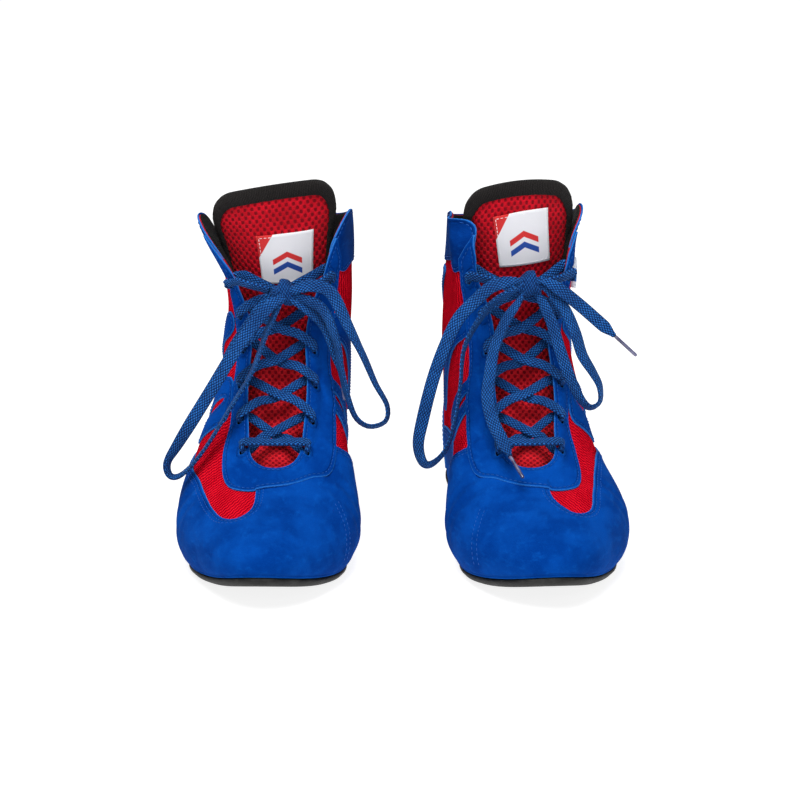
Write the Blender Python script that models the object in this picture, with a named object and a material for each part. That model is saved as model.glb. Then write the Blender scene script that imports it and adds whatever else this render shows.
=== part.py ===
"""Pair of lace-up boxing boots: suede panels over mesh, padded tongues, thin flexible rubber soles.

Lengths are in millimetres until a mesh is written. Each boot is drawn in its own frame, set in place by an empty:
a runs across the boot, positive to the outer side of the foot, y along it with the toe at -y, z up from the floor.
The upper is one skin over (s, t). s goes once round the boot: 0 at the toe, 0.5 at the heel, and 0 to 0.5 is the
outer side. t climbs from 0 at the sole edge to 1 at the throat and the top line. Each panel is a piece of that
skin with its own depth range, so the layers lie at least 0.5 mm apart.
"""

from math import cos, pi, radians, sin

import bpy
import numpy as np

MM = 0.001

# the pair
BOOT_X = 72.0       # from the middle of the pair to the throat line of each boot
PAIR_SHIFT = (-1.04, -3.03)     # brings the middle of the pair onto the origin

# sole unit
SOLE_TOP = 5.0
SOLE_EDGE = 1.0     # how far the outsole stands out past the upper
LAYER_GAP = 0.3
BOARD_THICK = 2.0
LINER_THICK = 3.0
TOE_SPRING = 18.0   # rise of the sole at the toe tip
SPRING_START = -55.0
SPRING_RUN = 83.0

# depth ranges of the layers of the upper, from the skin outwards
LINING = (-5.9, -4.9)
STIFFENER = (-3.7, -2.5)
MESH = (-1.6, -0.2)
SUEDE = (0.9, 1.8)
OVERLAY = (2.4, 3.6)
TAG = (3.8, 4.6)

# lacing
EYELETS = (0.106, 0.150, 0.190, 0.226, 0.254, 0.279)
EYELET_T = 0.95
EYELET_R = 3.0
EYELET_MID = 2.7    # depth of the middle of the eyelet row's hole
LACE_R = 1.55       # the lace where it is pulled tight
BOW_R = 2.0         # the lace where it lies free
AGLET_R = 1.4

TONGUE_THICK = 4.5
FOLD_GAP = 0.013    # share of the tongue's height left open at its fold

#    s      sole edge a, y   top line a, y, z   bulge above the sole   lean below the top line
RIBS = (
    (0.000, (4, -138), (0, -61, 60), (0, -11, 24), (0, -32, -13)),
    (0.040, (23, -126), (7, -60, 61), (11, -12, 26), (9, -26, -13)),
    (0.080, (38, -98), (13, -54, 65), (17, -9, 28), (18, -17, -14)),
    (0.130, (49, -66), (15, -38, 77), (20, -2, 28), (28, -9, -19)),
    (0.190, (49, -22), (16, -13, 102), (13, 0, 35), (31, -2, -24)),
    (0.250, (41, 24), (18, 2, 140), (4, 0, 46), (22, 4, -36)),
    (0.310, (35, 62), (42, 8, 190), (0, 0, 50), (-12, 16, -50)),
    (0.370, (33, 95), (41, 44, 192), (1, 2, 52), (-10, 14, -56)),
    (0.440, (26, 127), (29, 92, 178), (1, 8, 48), (-1, 10, -56)),
    (0.500, (0, 141), (0, 110, 174), (0, 9, 46), (0, 8, -54)),
    (0.560, (-26, 127), (-30, 92, 178), (-3, 8, 48), (0, 10, -56)),
    (0.630, (-34, 95), (-42, 44, 192), (-5, 2, 52), (0, 14, -56)),
    (0.690, (-32, 62), (-40, 8, 190), (-8, 0, 50), (-3, 16, -50)),
    (0.750, (-31, 24), (-18, 2, 140), (-10, 0, 46), (-27, 4, -36)),
    (0.810, (-36, -22), (-16, -13, 102), (-12, 0, 35), (-30, -2, -24)),
    (0.870, (-41, -66), (-15, -38, 77), (-20, 0, 28), (-23, -8, -19)),
    (0.920, (-33, -100), (-13, -54, 65), (-14, -7, 26), (-15, -17, -14)),
    (0.960, (-18, -125), (-7, -60, 61), (-7, -12, 24), (-8, -26, -13)),
)

# shared columns round the boot, so that layers bend at the same places
HALF_ROUND = np.concatenate([
    np.linspace(0, 0.09, 8)[:-1],
    np.linspace(0.09, 0.36, 16)[:-1],
    np.linspace(0.36, 0.5, 8),
])
ROUND = np.concatenate([HALF_ROUND, 1 - HALF_ROUND[::-1][1:-1]])

# tongue front: height along it, then y, z, half width, sweep back and drop of its edges, share of the top's tilt
TONGUE = np.array([
    (0.00, -62, 46, 20, 1, 7, 0.0),
    (0.14, -45, 56, 24, 2, 8, 0.0),
    (0.28, -27, 68, 26, 4, 8, 0.0),
    (0.42, -7, 88, 27, 8, 6, 0.0),
    (0.56, 7, 114, 27, 10, 3, 0.0),
    (0.70, 11, 145, 28, 11, 1, 0.0),
    (0.80, 8, 168, 29, 12, 0, 0.1),
    (0.90, 3, 192, 31.5, 12, 0, 0.6),
    (1.00, -2, 216, 36, 11, 2, 1.0),
])

#            base colour, roughness
FINISHES = {
    "blue_suede": ((0.004, 0.085, 0.42), 0.95),
    "red_mesh": ((0.55, 0.012, 0.03), 0.8),
    "lining_knit": ((0.02, 0.018, 0.02), 0.9),
    "black_binding": ((0.015, 0.014, 0.014), 0.85),
    "white_label": ((0.82, 0.82, 0.86), 0.7),
    "woven_tag": ((0.35, 0.6, 0.85), 0.7),
    "blue_lace": ((0.012, 0.1, 0.42), 0.75),
    "aglet": ((0.45, 0.5, 0.65), 0.25),
    "rubber_sole": ((0.035, 0.035, 0.035), 0.6),
    "insole_board": ((0.35, 0.28, 0.2), 0.9),
    "sock_liner": ((0.02, 0.02, 0.022), 0.9),
    "heel_stiffener": ((0.5, 0.47, 0.42), 0.9),
}


def finish(name):
    """The Principled material of that name, made once."""
    if name in bpy.data.materials:
        return bpy.data.materials[name]
    colour, roughness = FINISHES[name]
    made = bpy.data.materials.new(name)
    made.use_nodes = True
    shader = made.node_tree.nodes["Principled BSDF"]
    shader.inputs["Base Color"].default_value = (*colour, 1.0)
    shader.inputs["Roughness"].default_value = roughness
    shader.inputs["Metallic"].default_value = 0.0
    return made


# ---------------------------------------------------------------- the skin


def closed_spline(places, values):
    """A smooth function of s through the ribs, the same at s and s + 1."""
    x, y = np.array(places, float), np.array(values, float)
    n = len(x)
    gap = np.diff(np.append(x, x[0] + 1.0))
    left, right = np.zeros((n, n)), np.zeros((n, y.shape[1]))
    for i in range(n):
        before, after = (i - 1) % n, (i + 1) % n
        left[i, before] += gap[before]
        left[i, i] += 2 * (gap[before] + gap[i])
        left[i, after] += gap[i]
        right[i] = 6 * ((y[after] - y[i]) / gap[i] - (y[i] - y[before]) / gap[before])
    bend = np.linalg.solve(left, right)

    def value(s):
        s = np.mod(np.asarray(s, float) - x[0], 1.0) + x[0]
        i = np.clip(np.searchsorted(x, s, side="right") - 1, 0, n - 1)
        j = (i + 1) % n
        w = gap[i][..., None]
        a, b = (x[i] + gap[i] - s)[..., None], (s - x[i])[..., None]
        cubic = (bend[i] * a**3 + bend[j] * b**3) / (6 * w)
        return cubic + (y[i] / w - bend[i] * w / 6) * a + (y[j] / w - bend[j] * w / 6) * b

    return value


sole_edge, top_line, bulge, lean = (
    closed_spline([rib[0] for rib in RIBS], [rib[k] for rib in RIBS]) for k in (1, 2, 3, 4)
)


def toe_spring(y):
    return TOE_SPRING * np.clip((SPRING_START - np.asarray(y, float)) / SPRING_RUN, 0, None) ** 2


def skin(s, t):
    """Points of the skin: each rib is a cubic curve from the sole edge to the top line."""
    s, t = np.broadcast_arrays(np.asarray(s, float), np.asarray(t, float))
    foot = sole_edge(s)
    p0 = np.concatenate([foot, (SOLE_TOP + toe_spring(foot[..., 1]))[..., None]], -1)
    p3 = top_line(s)
    p1, p2 = p0 + bulge(s), p3 + lean(s)
    t = t[..., None]
    return (1 - t) ** 3 * p0 + 3 * (1 - t) ** 2 * t * p1 + 3 * (1 - t) * t * t * p2 + t**3 * p3


def unit(v):
    return v / np.maximum(np.linalg.norm(v, axis=-1, keepdims=True), 1e-9)


def slopes(surface, u, v, step=2e-3, low=-np.inf, high=np.inf):
    """How a surface's point moves with u and with v."""
    along_u = surface(u + step, v) - surface(u - step, v)
    along_v = surface(u, np.clip(v + step, low, high)) - surface(u, np.clip(v - step, low, high))
    return along_u, along_v


def outward(s, t):
    return unit(np.cross(*slopes(skin, np.asarray(s, float), np.asarray(t, float), low=0, high=1)))


def at_depth(s, t, depth):
    return skin(s, t) + outward(s, t) * depth


def line_through(*keys):
    """A function of s through (s, t) pairs, level past the ends."""
    places, heights = zip(*keys)
    return lambda s: np.interp(s, places, heights)


def level(t):
    return lambda s: np.full(np.shape(s), float(t))


def columns(first, last, extra=()):
    """The shared columns between two ends, with any extra ones."""
    near = np.concatenate([ROUND - 1, ROUND])
    inside = near[(near > first + 0.004) & (near < last - 0.004)]
    return np.sort(np.concatenate([[first, last], inside, extra]))


# ---------------------------------------------------------------- solids


def empty(name, location, turn=0.0, parent=None):
    made = bpy.data.objects.new(name, None)
    made.location = [c * MM for c in location]
    made.rotation_euler = (0, 0, turn)
    made.parent = parent
    bpy.context.scene.collection.objects.link(made)
    return made


def rim_faces(cells, count):
    """Both faces of a slab of cells, and the walls round its rim and its holes; the back is count points on."""
    faces, rim = [], {}
    for cell in cells:
        for k in range(1, len(cell) - 1):
            faces.append((cell[0], cell[k], cell[k + 1]))
            faces.append((cell[0] + count, cell[k + 1] + count, cell[k] + count))
        for a, b in zip(cell, cell[1:] + cell[:1]):
            if (b, a) in rim:
                del rim[(b, a)]
            else:
                rim[(a, b)] = True
    return faces + [(b, a, a + count, b + count) for a, b in rim]


def grid_cells(across, up, closed=False, holes=()):
    """The cells of a grid of points, without those in holes."""
    cells = []
    for i in range(across if closed else across - 1):
        j_next = (i + 1) % across
        cells += [
            (i * up + j, j_next * up + j, j_next * up + j + 1, i * up + j + 1)
            for j in range(up - 1)
            if (i, j) not in holes
        ]
    return cells


def tube_faces(rings, sides):
    faces = [
        (i * sides + k, i * sides + (k + 1) % sides, (i + 1) * sides + (k + 1) % sides, (i + 1) * sides + k)
        for i in range(rings - 1)
        for k in range(sides)
    ]
    ends = tuple(reversed(range(sides))), tuple((rings - 1) * sides + k for k in range(sides))
    return faces + list(ends)


def smooth_route(points, per_span):
    """Points on a smooth curve through the route's own points."""
    p = np.array(points, float)
    p = np.vstack([2 * p[0] - p[1], p, 2 * p[-1] - p[-2]])
    fine = []
    for a, b, c, d in zip(p[:-3], p[1:-2], p[2:-1], p[3:]):
        for u in np.arange(per_span) / per_span:
            fine.append(b + 0.5 * u * (c - a + u * (2 * a - 5 * b + 4 * c - d + u * (3 * (b - c) + d - a))))
    return np.array(fine + [p[-2]])


def even_route(points, spacing):
    """The smooth route, with its points the same distance apart."""
    fine = smooth_route(points, 12)
    run = np.concatenate([[0], np.cumsum(np.linalg.norm(np.diff(fine, axis=0), axis=1))])
    stops = np.linspace(0, run[-1], max(2, round(run[-1] / spacing) + 1))
    return np.stack([np.interp(stops, run, fine[:, k]) for k in range(3)], -1)


class Boot:
    """One boot. side is 1 where the outer side of the foot is +X and -1 where it is -X."""

    def __init__(self, name, side, toe_out, knot, fold, tilt, label_shift):
        self.name, self.side, self.knot = name, side, np.array(knot, float)
        self.fold, self.tilt, self.label_shift = fold, tilt, label_shift
        place = (BOOT_X * side + PAIR_SHIFT[0], PAIR_SHIFT[1], 0)
        self.home = empty(name + "_boot", place, radians(toe_out) * side)
        hinge = self.tongue_front(np.array(0.0), np.array(fold - FOLD_GAP / 2))
        self.hinge = np.array([0, hinge[1], hinge[2]])
        self.flap = empty(name + "_tongue_fold", self.hinge, parent=self.home)

    def link(self, name, data, slot, parent):
        data.materials.append(finish(slot))
        made = bpy.data.objects.new(self.name + "_" + name, data)
        made.parent = parent
        bpy.context.scene.collection.objects.link(made)

    def solid(self, name, points, faces, slot, on_flap=False):
        """One closed body, with the points that no face uses left out and its faces turned out."""
        used = sorted({k for face in faces for k in face})
        new = {k: n for n, k in enumerate(used)}
        faces = [tuple(new[k] for k in face) for face in faces]
        points = np.asarray(points, float)[used] * (self.side, 1, 1) - (self.hinge if on_flap else 0)
        volume = sum(
            np.dot(points[f[0]], np.cross(points[f[k]], points[f[k + 1]]))
            for f in faces
            for k in range(1, len(f) - 1)
        )
        if volume < 0:
            faces = [tuple(reversed(face)) for face in faces]
        mesh = bpy.data.meshes.new(self.name + "_" + name)
        mesh.from_pydata((points * MM).tolist(), [], faces)
        mesh.shade_smooth()
        mesh.set_sharp_from_angle(angle=radians(35))
        self.link(name, mesh, slot, self.flap if on_flap else self.home)

    def slab(self, name, s, t, depth, slot, closed=False, holes=()):
        """A piece of the skin over a grid of (s, t)."""
        points = np.concatenate([at_depth(s, t, d).reshape(-1, 3) for d in reversed(depth)])
        self.solid(name, points, rim_faces(grid_cells(*s.shape, closed, holes), s.size), slot)

    def panel(self, name, s, low, high, depth, rows, slot, closed=False):
        """A panel between two lines that run round the boot."""
        v = np.linspace(0, 1, rows + 1)
        t = low(s)[:, None] * (1 - v) + high(s)[:, None] * v
        self.slab(name, np.broadcast_to(s[:, None], t.shape), t, depth, slot, closed)

    def stripe(self, name, front, back, depth, across, along, slot, holes=()):
        """A band between two slanted edges, each from its lower (s, t) to its upper one."""
        u, v = np.meshgrid(np.linspace(0, 1, across + 1), np.linspace(0, 1, along + 1), indexing="ij")
        front, back = np.array(front, float), np.array(back, float)
        edges = [edge[0] * (1 - v[..., None]) + edge[1] * v[..., None] for edge in (front, back)]
        st = edges[0] * (1 - u[..., None]) + edges[1] * u[..., None]
        self.slab(name, st[..., 0], st[..., 1], depth, slot, holes=holes)

    def tight_lace(self, name, points):
        """A lace drawn through holes, whose short straight runs turn at the points given."""
        points = np.array(points, float)
        sides = 6
        up = np.array([0.0, -0.6, 0.8])
        rings = []
        for point, ahead in zip(points, unit(np.gradient(points, axis=0))):
            up = unit(up - ahead * np.dot(up, ahead))
            over = np.cross(ahead, up)
            rings += [point + LACE_R * (cos(q) * over + sin(q) * up) for q in np.arange(sides) * 2 * pi / sides]
        self.solid(name, rings, tube_faces(len(points), sides), "blue_lace")

    def cord(self, name, route, radius, slot):
        """A free cord: a bevelled curve with a point every two or three diameters."""
        points = even_route(route, 5 * radius) * (self.side, 1, 1) * MM
        curve = bpy.data.curves.new(self.name + "_" + name, "CURVE")
        curve.dimensions = "3D"
        curve.bevel_depth = radius * MM
        curve.bevel_resolution = 2
        curve.use_fill_caps = True
        spline = curve.splines.new("POLY")
        spline.points.add(len(points) - 1)
        for point, place in zip(spline.points, points):
            point.co = (*place, 1)
        self.link(name, curve, slot, self.home)

    # ------------------------------------------------------------ sole unit

    def sole_layer(self, name, inset, low, high, slot, count=44):
        """A layer of the sole, with its outline set in from the sole edge, bent up at the toe."""
        edge = sole_edge(np.linspace(0, 1, count, endpoint=False))
        along = np.roll(edge, -1, 0) - np.roll(edge, 1, 0)
        out = unit(np.stack([along[:, 1], -along[:, 0]], -1))
        out *= np.sign((out * (edge - edge.mean(0))).sum(-1).mean())
        edge = edge - out * inset
        half = count // 2
        outer, inner = edge[1:half], edge[:half:-1]
        rows = np.stack([outer, (outer + inner) / 2, inner], 1).reshape(-1, 2)
        flat = np.vstack([rows, edge[0], edge[half]])
        toe, heel = len(flat) - 2, len(flat) - 1
        cells = grid_cells(half - 1, 3)
        cells += [(toe, k, k + 1) for k in range(2)]
        cells += [(heel, toe - 2 - k, toe - 3 - k) for k in range(2)]
        rise = toe_spring(flat[:, 1])
        points = [np.column_stack([flat, rise + z]) for z in (high, low)]
        self.solid(name, np.vstack(points), rim_faces(cells, len(flat)), slot)

    def sole_unit(self):
        board = SOLE_TOP + LAYER_GAP
        liner = board + BOARD_THICK + LAYER_GAP
        self.sole_layer("outsole", -SOLE_EDGE, 0.0, SOLE_TOP - 0.5, "rubber_sole")
        self.sole_layer("insole_board", 7.0, board, board + BOARD_THICK, "insole_board")
        self.sole_layer("sock_liner", 7.5, liner, liner + LINER_THICK, "sock_liner")

    # ------------------------------------------------------------ upper

    def base_layers(self):
        """Lining, heel stiffener and the two mesh quarters, which end below the row of eyelets."""
        end = line_through((0, 0.90), (0.290, 0.90), (0.312, 0.985), (0.688, 0.985), (0.710, 0.90), (1, 0.90))
        self.panel("lining", ROUND[::2], level(0.03), end, LINING, 5, "lining_knit", closed=True)
        hump = lambda s: 0.34 - 9 * (s - 0.5) ** 2
        self.panel("heel_stiffener", columns(0.38, 0.62), level(0.03), hump, STIFFENER, 3, "heel_stiffener")
        self.panel("quarter_lateral", columns(0.03, 0.4975), level(0.015), end, MESH, 7, "red_mesh")
        self.panel("quarter_medial", columns(0.5025, 0.97), level(0.015), end, MESH, 7, "red_mesh")

    def vamp(self):
        """Toe and mudguard in one: its edge dips round a mesh window on the outer side."""
        edge = line_through(
            (-0.36, 0.22), (-0.30, 0.27), (-0.24, 0.33), (-0.20, 0.42), (-0.165, 0.62), (-0.15, 0.74),
            (-0.13, 0.885), (0.03, 0.885), (0.043, 0.79), (0.05, 0.60), (0.064, 0.52), (0.077, 0.515),
            (0.09, 0.545), (0.12, 0.57), (0.15, 0.575), (0.18, 0.50), (0.24, 0.36), (0.30, 0.27), (0.36, 0.22),
        )
        s = columns(-0.36, 0.36, extra=[-0.171, -0.153, -0.135])
        self.panel("vamp", s, level(0.015), edge, SUEDE, 6, "blue_suede")

    def stripes(self):
        """On each side a front stripe with a slit of mesh down its middle, and a slim rear one."""
        slit = {(2, j) for j in range(1, 6)}
        bands = {
            "lateral": (((0.196, 0.490), (0.160, 0.875)), ((0.268, 0.345), (0.214, 0.885))),
            "medial": (((0.205, 0.475), (0.186, 0.885)), ((0.268, 0.345), (0.214, 0.885))),
        }
        rear = ((0.322, 0.30), (0.250, 0.86)), ((0.348, 0.30), (0.270, 0.86))
        for side, front in bands.items():
            turned = lambda edge: edge if side == "lateral" else [(1 - s, t) for s, t in edge]
            edges = [turned(edge) for edge in front]
            self.stripe("stripe_front_" + side, *edges, SUEDE, 5, 7, "blue_suede", slit)
            edges = [turned(edge) for edge in rear]
            self.stripe("stripe_rear_" + side, *edges, SUEDE, 3, 9, "blue_suede")

    def backstay(self):
        """Counter and back strip: wide at the sole and under the collar, then narrow up to the top line."""
        t = np.concatenate([np.linspace(0.015, 0.78, 10), [0.792, 0.803, 0.814, 0.825, 0.836, 0.885, 0.935, 0.985]])
        half = line_through((0.0, 0.128), (0.18, 0.112), (0.35, 0.070), (0.6, 0.082), (0.78, 0.113),
                            (0.792, 0.110), (0.836, 0.028), (0.99, 0.022))
        u = np.linspace(-1, 1, 15)
        s = 0.5 + u[:, None] * half(t)[None, :]
        self.slab("backstay", s, np.broadcast_to(t, s.shape), OVERLAY, "blue_suede")

    def collars(self):
        edge = line_through((0.270, 0.985), (0.294, 0.92), (0.31, 0.845), (0.37, 0.83), (0.5, 0.85),
                            (0.63, 0.83), (0.69, 0.845), (0.706, 0.92), (0.730, 0.985))
        ear = np.array([0.300, 0.318, 0.336, 0.355])
        for side, first, last, extra in (("lateral", 0.292, 0.4975, ear), ("medial", 0.5025, 0.708, 1 - ear)):
            self.panel("collar_" + side, columns(first, last, extra), edge, level(0.998), SUEDE, 3, "blue_suede")

    def eyestay(self):
        """The U of suede round the throat, with the eyelet holes punched through it."""
        edge = line_through(
            (-0.302, 0.90), (-0.28, 0.86), (-0.25, 0.81), (-0.19, 0.75), (-0.13, 0.72), (-0.105, 0.74),
            (-0.08, 0.82), (-0.03, 0.865), (0.02, 0.86), (0.045, 0.83), (0.075, 0.775), (0.115, 0.775),
            (0.15, 0.83), (0.19, 0.865), (0.25, 0.87), (0.285, 0.88), (0.302, 0.90),
        )
        between = np.array([0.128, 0.17, 0.208, 0.24, 0.265, 0.293, 0.302])
        places = list(between) + list(-between) + list(np.linspace(-0.085, 0.085, 9))
        width = {}
        for s in [side * k for k in EYELETS for side in (-1, 1)]:
            width[s] = EYELET_R * 2e-3 / np.linalg.norm(skin(s + 1e-3, EYELET_T) - skin(s - 1e-3, EYELET_T))
            places += [s - width[s], s, s + width[s]]
        places = np.array(sorted(places))
        rise = 2e-3 / np.linalg.norm(skin(places, EYELET_T + 1e-3) - skin(places, EYELET_T - 1e-3), axis=-1)
        low, high = EYELET_T - EYELET_R * rise, EYELET_T + EYELET_R * rise
        rows = edge(places), (edge(places) + low) / 2, low, np.full(len(places), EYELET_T), high
        t = np.stack([*rows, np.full(len(places), 0.999)], 1)
        s = np.repeat(places[:, None], t.shape[1], 1)
        holes = set()
        corner = 0.74   # draws the corners in, so that a hole is eight-sided
        for centre, w in width.items():
            i = int(np.argmin(abs(places - centre)))
            holes |= {(i - 1, 2), (i - 1, 3), (i, 2), (i, 3)}
            for across in (-1, 1):
                s[i + across, [2, 4]] = centre + across * w * corner
                t[i + across, [2, 4]] = EYELET_T + (t[i + across, [2, 4]] - EYELET_T) * corner
        self.slab("eyestay", s, t, OVERLAY, "blue_suede", holes=holes)

    # ------------------------------------------------------------ tongue

    def tongue_front(self, u, v):
        """Front of the tongue: u across it from -1 to 1, v up it from 0 to 1."""
        y, z, half, sweep, drop, tilt = (np.interp(v, TONGUE[:, 0], TONGUE[:, k]) for k in range(1, 7))
        return np.stack([u * half, y + sweep * u**2, z - drop * u**2 + tilt * self.tilt * u], -1)

    def tongue_piece(self, name, u, v, front, thick, slot, on_flap=True, top=1.0):
        """A layer of the tongue; top draws its last row in."""
        u, v = np.meshgrid(u, v, indexing="ij")
        u[:, -1] *= top
        face = self.tongue_front(u, v)
        normal = unit(np.cross(*slopes(self.tongue_front, u, v, 1e-3)))
        points = [face + normal * (front - depth) for depth in (0, thick)]
        faces = rim_faces(grid_cells(*u.shape), u.size)
        self.solid(name, np.concatenate([p.reshape(-1, 3) for p in points]), faces, slot, on_flap)

    def binding(self):
        """Ribbed strip folded round the sides and the top of the tongue."""
        rim = [(1, self.fold), (1, 0.85), (1, 0.90), (1, 0.94), (0.97, 0.975), (0.85, 0.99), (0.5, 0.99)]
        u, v = np.array([(-u, v) for u, v in rim] + [(0, 0.99)] + rim[::-1], float).T
        edge = self.tongue_front(u, v)
        normal = unit(np.cross(*slopes(self.tongue_front, u, v, 1e-3)))
        out = unit(np.cross(unit(np.gradient(edge, axis=0)), normal))
        out *= np.sign(((edge - edge[3:12].mean(0)) * out).sum(-1))[:, None]
        section = (1.0, 0.9), (3.0, 0.6), (3.0, -5.0), (1.0, -5.4)
        rings = np.stack([edge + out * far + normal * high for far, high in section], 1)
        self.solid("tongue_binding", rings.reshape(-1, 3), tube_faces(len(edge), 4), "black_binding", True)

    def tongue(self):
        across = np.linspace(-1, 1, 9)
        lower, upper = np.linspace(0, self.fold - FOLD_GAP, 12), np.append(np.linspace(self.fold, 0.955, 5), 0.985)
        self.tongue_piece("tongue", across, lower, 0, TONGUE_THICK, "red_mesh", on_flap=False)
        self.tongue_piece("tongue_top", across, upper, 0, TONGUE_THICK, "red_mesh", top=0.86)
        self.binding()
        width, height = np.linspace(-0.5, 0.5, 5) + self.label_shift, np.linspace(0.012, 0.142, 4) + self.fold
        self.tongue_piece("tongue_label", width, height, 1.3, 1.0, "white_label")

    # ------------------------------------------------------------ laces

    def eyelet(self, row, side):
        """Middle of an eyelet, its outward direction, and the way from it to the throat."""
        s = EYELETS[row] * side
        out = outward(s, EYELET_T)
        inward = skin(s, EYELET_T + 5e-3) - skin(s, EYELET_T - 5e-3)
        return skin(s, EYELET_T) + out * EYELET_MID, out, unit(inward - out * np.dot(inward, out))

    def strand(self, side):
        """One strand from the bottom bar up through its six eyelets, from alternate sides, to the knot."""
        over, under = 4.3, -4.2     # where the strand runs outside and inside the eyestay
        points = []
        for row in range(len(EYELETS)):
            hole, out, throat = self.eyelet(row, side)
            if row == 0:
                run = (over, 3.2), (over - 1, 0.2), (0.2, 0), (-3.6, 0.4), (under, 4.5)
            else:
                run = (under, 5.0), (-3.8, 1.0), (0, 0), (over - 1, 0.2), (over, 3.4)
            points += [hole + out * high + throat * far for high, far in run]
            if row < len(EYELETS) - 1:
                four = [self.eyelet(r, k) for r in (row, row + 1) for k in (-1, 1)]
                middle = sum(place for place, _, _ in four) / 4
                upward = unit(sum(direction for _, direction, _ in four))
                height = -2.3 if row == 0 else 2.6
                crossing = 2.2 if (side > 0) == (row % 2 == 0) else -2.2
                points.append(middle + upward * (height + crossing))
            side = -side
        tip = self.knot + (np.sign(points[-1][0]) * 9.8, -1.5, 1.5)
        return points + [(points[-1] + tip) / 2 + (0, -1.5, 0), tip]

    def lacing(self):
        ends = [self.eyelet(0, side) for side in (-1, 1)]
        bar = (ends[0][0] + ends[1][0]) / 2 + unit(ends[0][1] + ends[1][1]) * 7.2
        self.tight_lace("lace_crossed", self.strand(-1)[::-1] + [bar] + self.strand(1))
        rings = []
        for along, girth in ((-1, 0.35), (-0.75, 0.8), (-0.25, 1), (0.25, 1), (0.75, 0.8), (1, 0.35)):
            for q in np.arange(8) * pi / 4:
                rings.append(self.knot + (along * 7.2, -1.5 + 5 * girth * cos(q), 1.5 + 6 * girth * sin(q)))
        self.solid("lace_knot", rings, tube_faces(6, 8), "blue_lace")

    def bow(self, loop_lateral, loop_medial, end_lateral, end_medial, aglet_lateral, aglet_medial):
        """The two loops, the two free ends and their tips, along routes chosen by hand."""
        self.cord("lace_loop_lateral", loop_lateral, BOW_R, "blue_lace")
        self.cord("lace_loop_medial", loop_medial, BOW_R, "blue_lace")
        self.cord("lace_end_lateral", end_lateral, BOW_R, "blue_lace")
        self.cord("lace_end_medial", end_medial, BOW_R, "blue_lace")
        self.cord("aglet_lateral", aglet_lateral, AGLET_R, "aglet")
        self.cord("aglet_medial", aglet_medial, AGLET_R, "aglet")

    def build(self):
        self.sole_unit()
        self.base_layers()
        self.vamp()
        self.stripes()
        self.backstay()
        self.collars()
        self.eyestay()
        self.tongue()
        self.lacing()

    def side_tag(self):
        """Woven tab sewn to the outer collar near its front edge."""
        s, t = np.meshgrid(np.linspace(0.297, 0.309, 3), np.linspace(0.79, 0.868, 3), indexing="ij")
        self.slab("side_tag", s, t, TAG, "woven_tag")


for thing in list(bpy.data.objects):
    bpy.data.objects.remove(thing, do_unlink=True)

right = Boot("right", side=-1, toe_out=1, knot=(-5, -9, 154), fold=0.756, tilt=-4, label_shift=-0.17)
right.build()
right.bow(
    loop_lateral=[
        (-3, -19, 153), (6, -27, 148), (22, -36, 128), (39, -43, 101), (56, -49, 74), (63, -52, 62), (61, -52, 54),
        (54, -50, 55), (42, -46, 68), (26, -40, 93), (14, -32, 112), (6, -25, 133), (-1, -20, 148),
    ],
    loop_medial=[
        (-9, -17, 157), (-20, -20, 161), (-32, -21, 157), (-42, -24, 138), (-51, -26, 120), (-58, -28, 104),
        (-65, -30, 91), (-64, -32, 82), (-55, -33, 79), (-47, -33, 84), (-42, -31, 96), (-38, -28, 112),
        (-35, -26, 130), (-27, -21, 147), (-14, -17, 153),
    ],
    end_lateral=[(6, -16, 150), (14, -22, 140), (24, -28, 126), (31, -33, 112)],
    end_medial=[(-9, -17, 151), (-18, -16, 146), (-28, -16, 136), (-34, -19, 122), (-37, -22, 110)],
    aglet_lateral=[(32, -34, 110.4), (39, -39, 96)],
    aglet_medial=[(-37.6, -22.9, 108.4), (-40, -29, 94)],
)

left = Boot("left", side=1, toe_out=4.5, knot=(3, -9, 159), fold=0.786, tilt=1.5, label_shift=0.05)
left.build()
left.side_tag()
left.bow(
    loop_lateral=[
        (9, -15, 152), (14, -27, 142), (19, -33, 125), (24, -37, 111), (30, -40, 98), (36, -41, 92),
        (42, -40, 95), (42, -38, 104), (38, -36, 112), (32, -33, 122), (28, -30, 135), (22, -24, 148),
        (13, -17, 158),
    ],
    loop_medial=[
        (-8, -17, 163), (-20, -21, 161), (-30, -23, 153), (-40, -25, 143), (-48, -27, 127), (-55, -29, 108),
        (-61, -31, 85), (-64, -33, 69), (-61, -34, 58), (-55, -34, 58), (-47, -33, 67), (-42, -32, 85),
        (-39, -30, 105), (-36, -28, 128), (-22, -23, 149), (-8, -18, 157),
    ],
    end_lateral=[(11, -19, 163), (20, -25, 159), (31, -25, 150), (41, -25, 141), (52, -26, 131)],
    end_medial=[
        (-3, -18, 152), (-12, -24, 141), (-19, -27, 125), (-22, -33, 111), (-24, -40, 99), (-22, -50, 88),
        (-18, -60, 80), (-14, -70, 73),
    ],
    aglet_lateral=[(53.4, -26.2, 129.8), (65, -28, 119)],
    aglet_medial=[(-13.4, -71.4, 71.8), (-8, -84, 64)],
)
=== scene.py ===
"""Looks for the pair of boxing boots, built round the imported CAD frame.

Points are worked out in millimetres in each boot's own frame, as the CAD source has it: a runs across the boot,
positive to the outer side of the foot, y along it with the toe at -y, z up from the floor. Both uppers share one
skin over (s, t): s goes once round the boot, 0 at the toe and 0.5 at the heel, and t climbs from the sole edge at 0
to the throat and top line at 1.
"""

from math import ceil, cos, pi, radians, sin

import bpy
import numpy as np
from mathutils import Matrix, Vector
from mathutils.kdtree import KDTree


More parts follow.
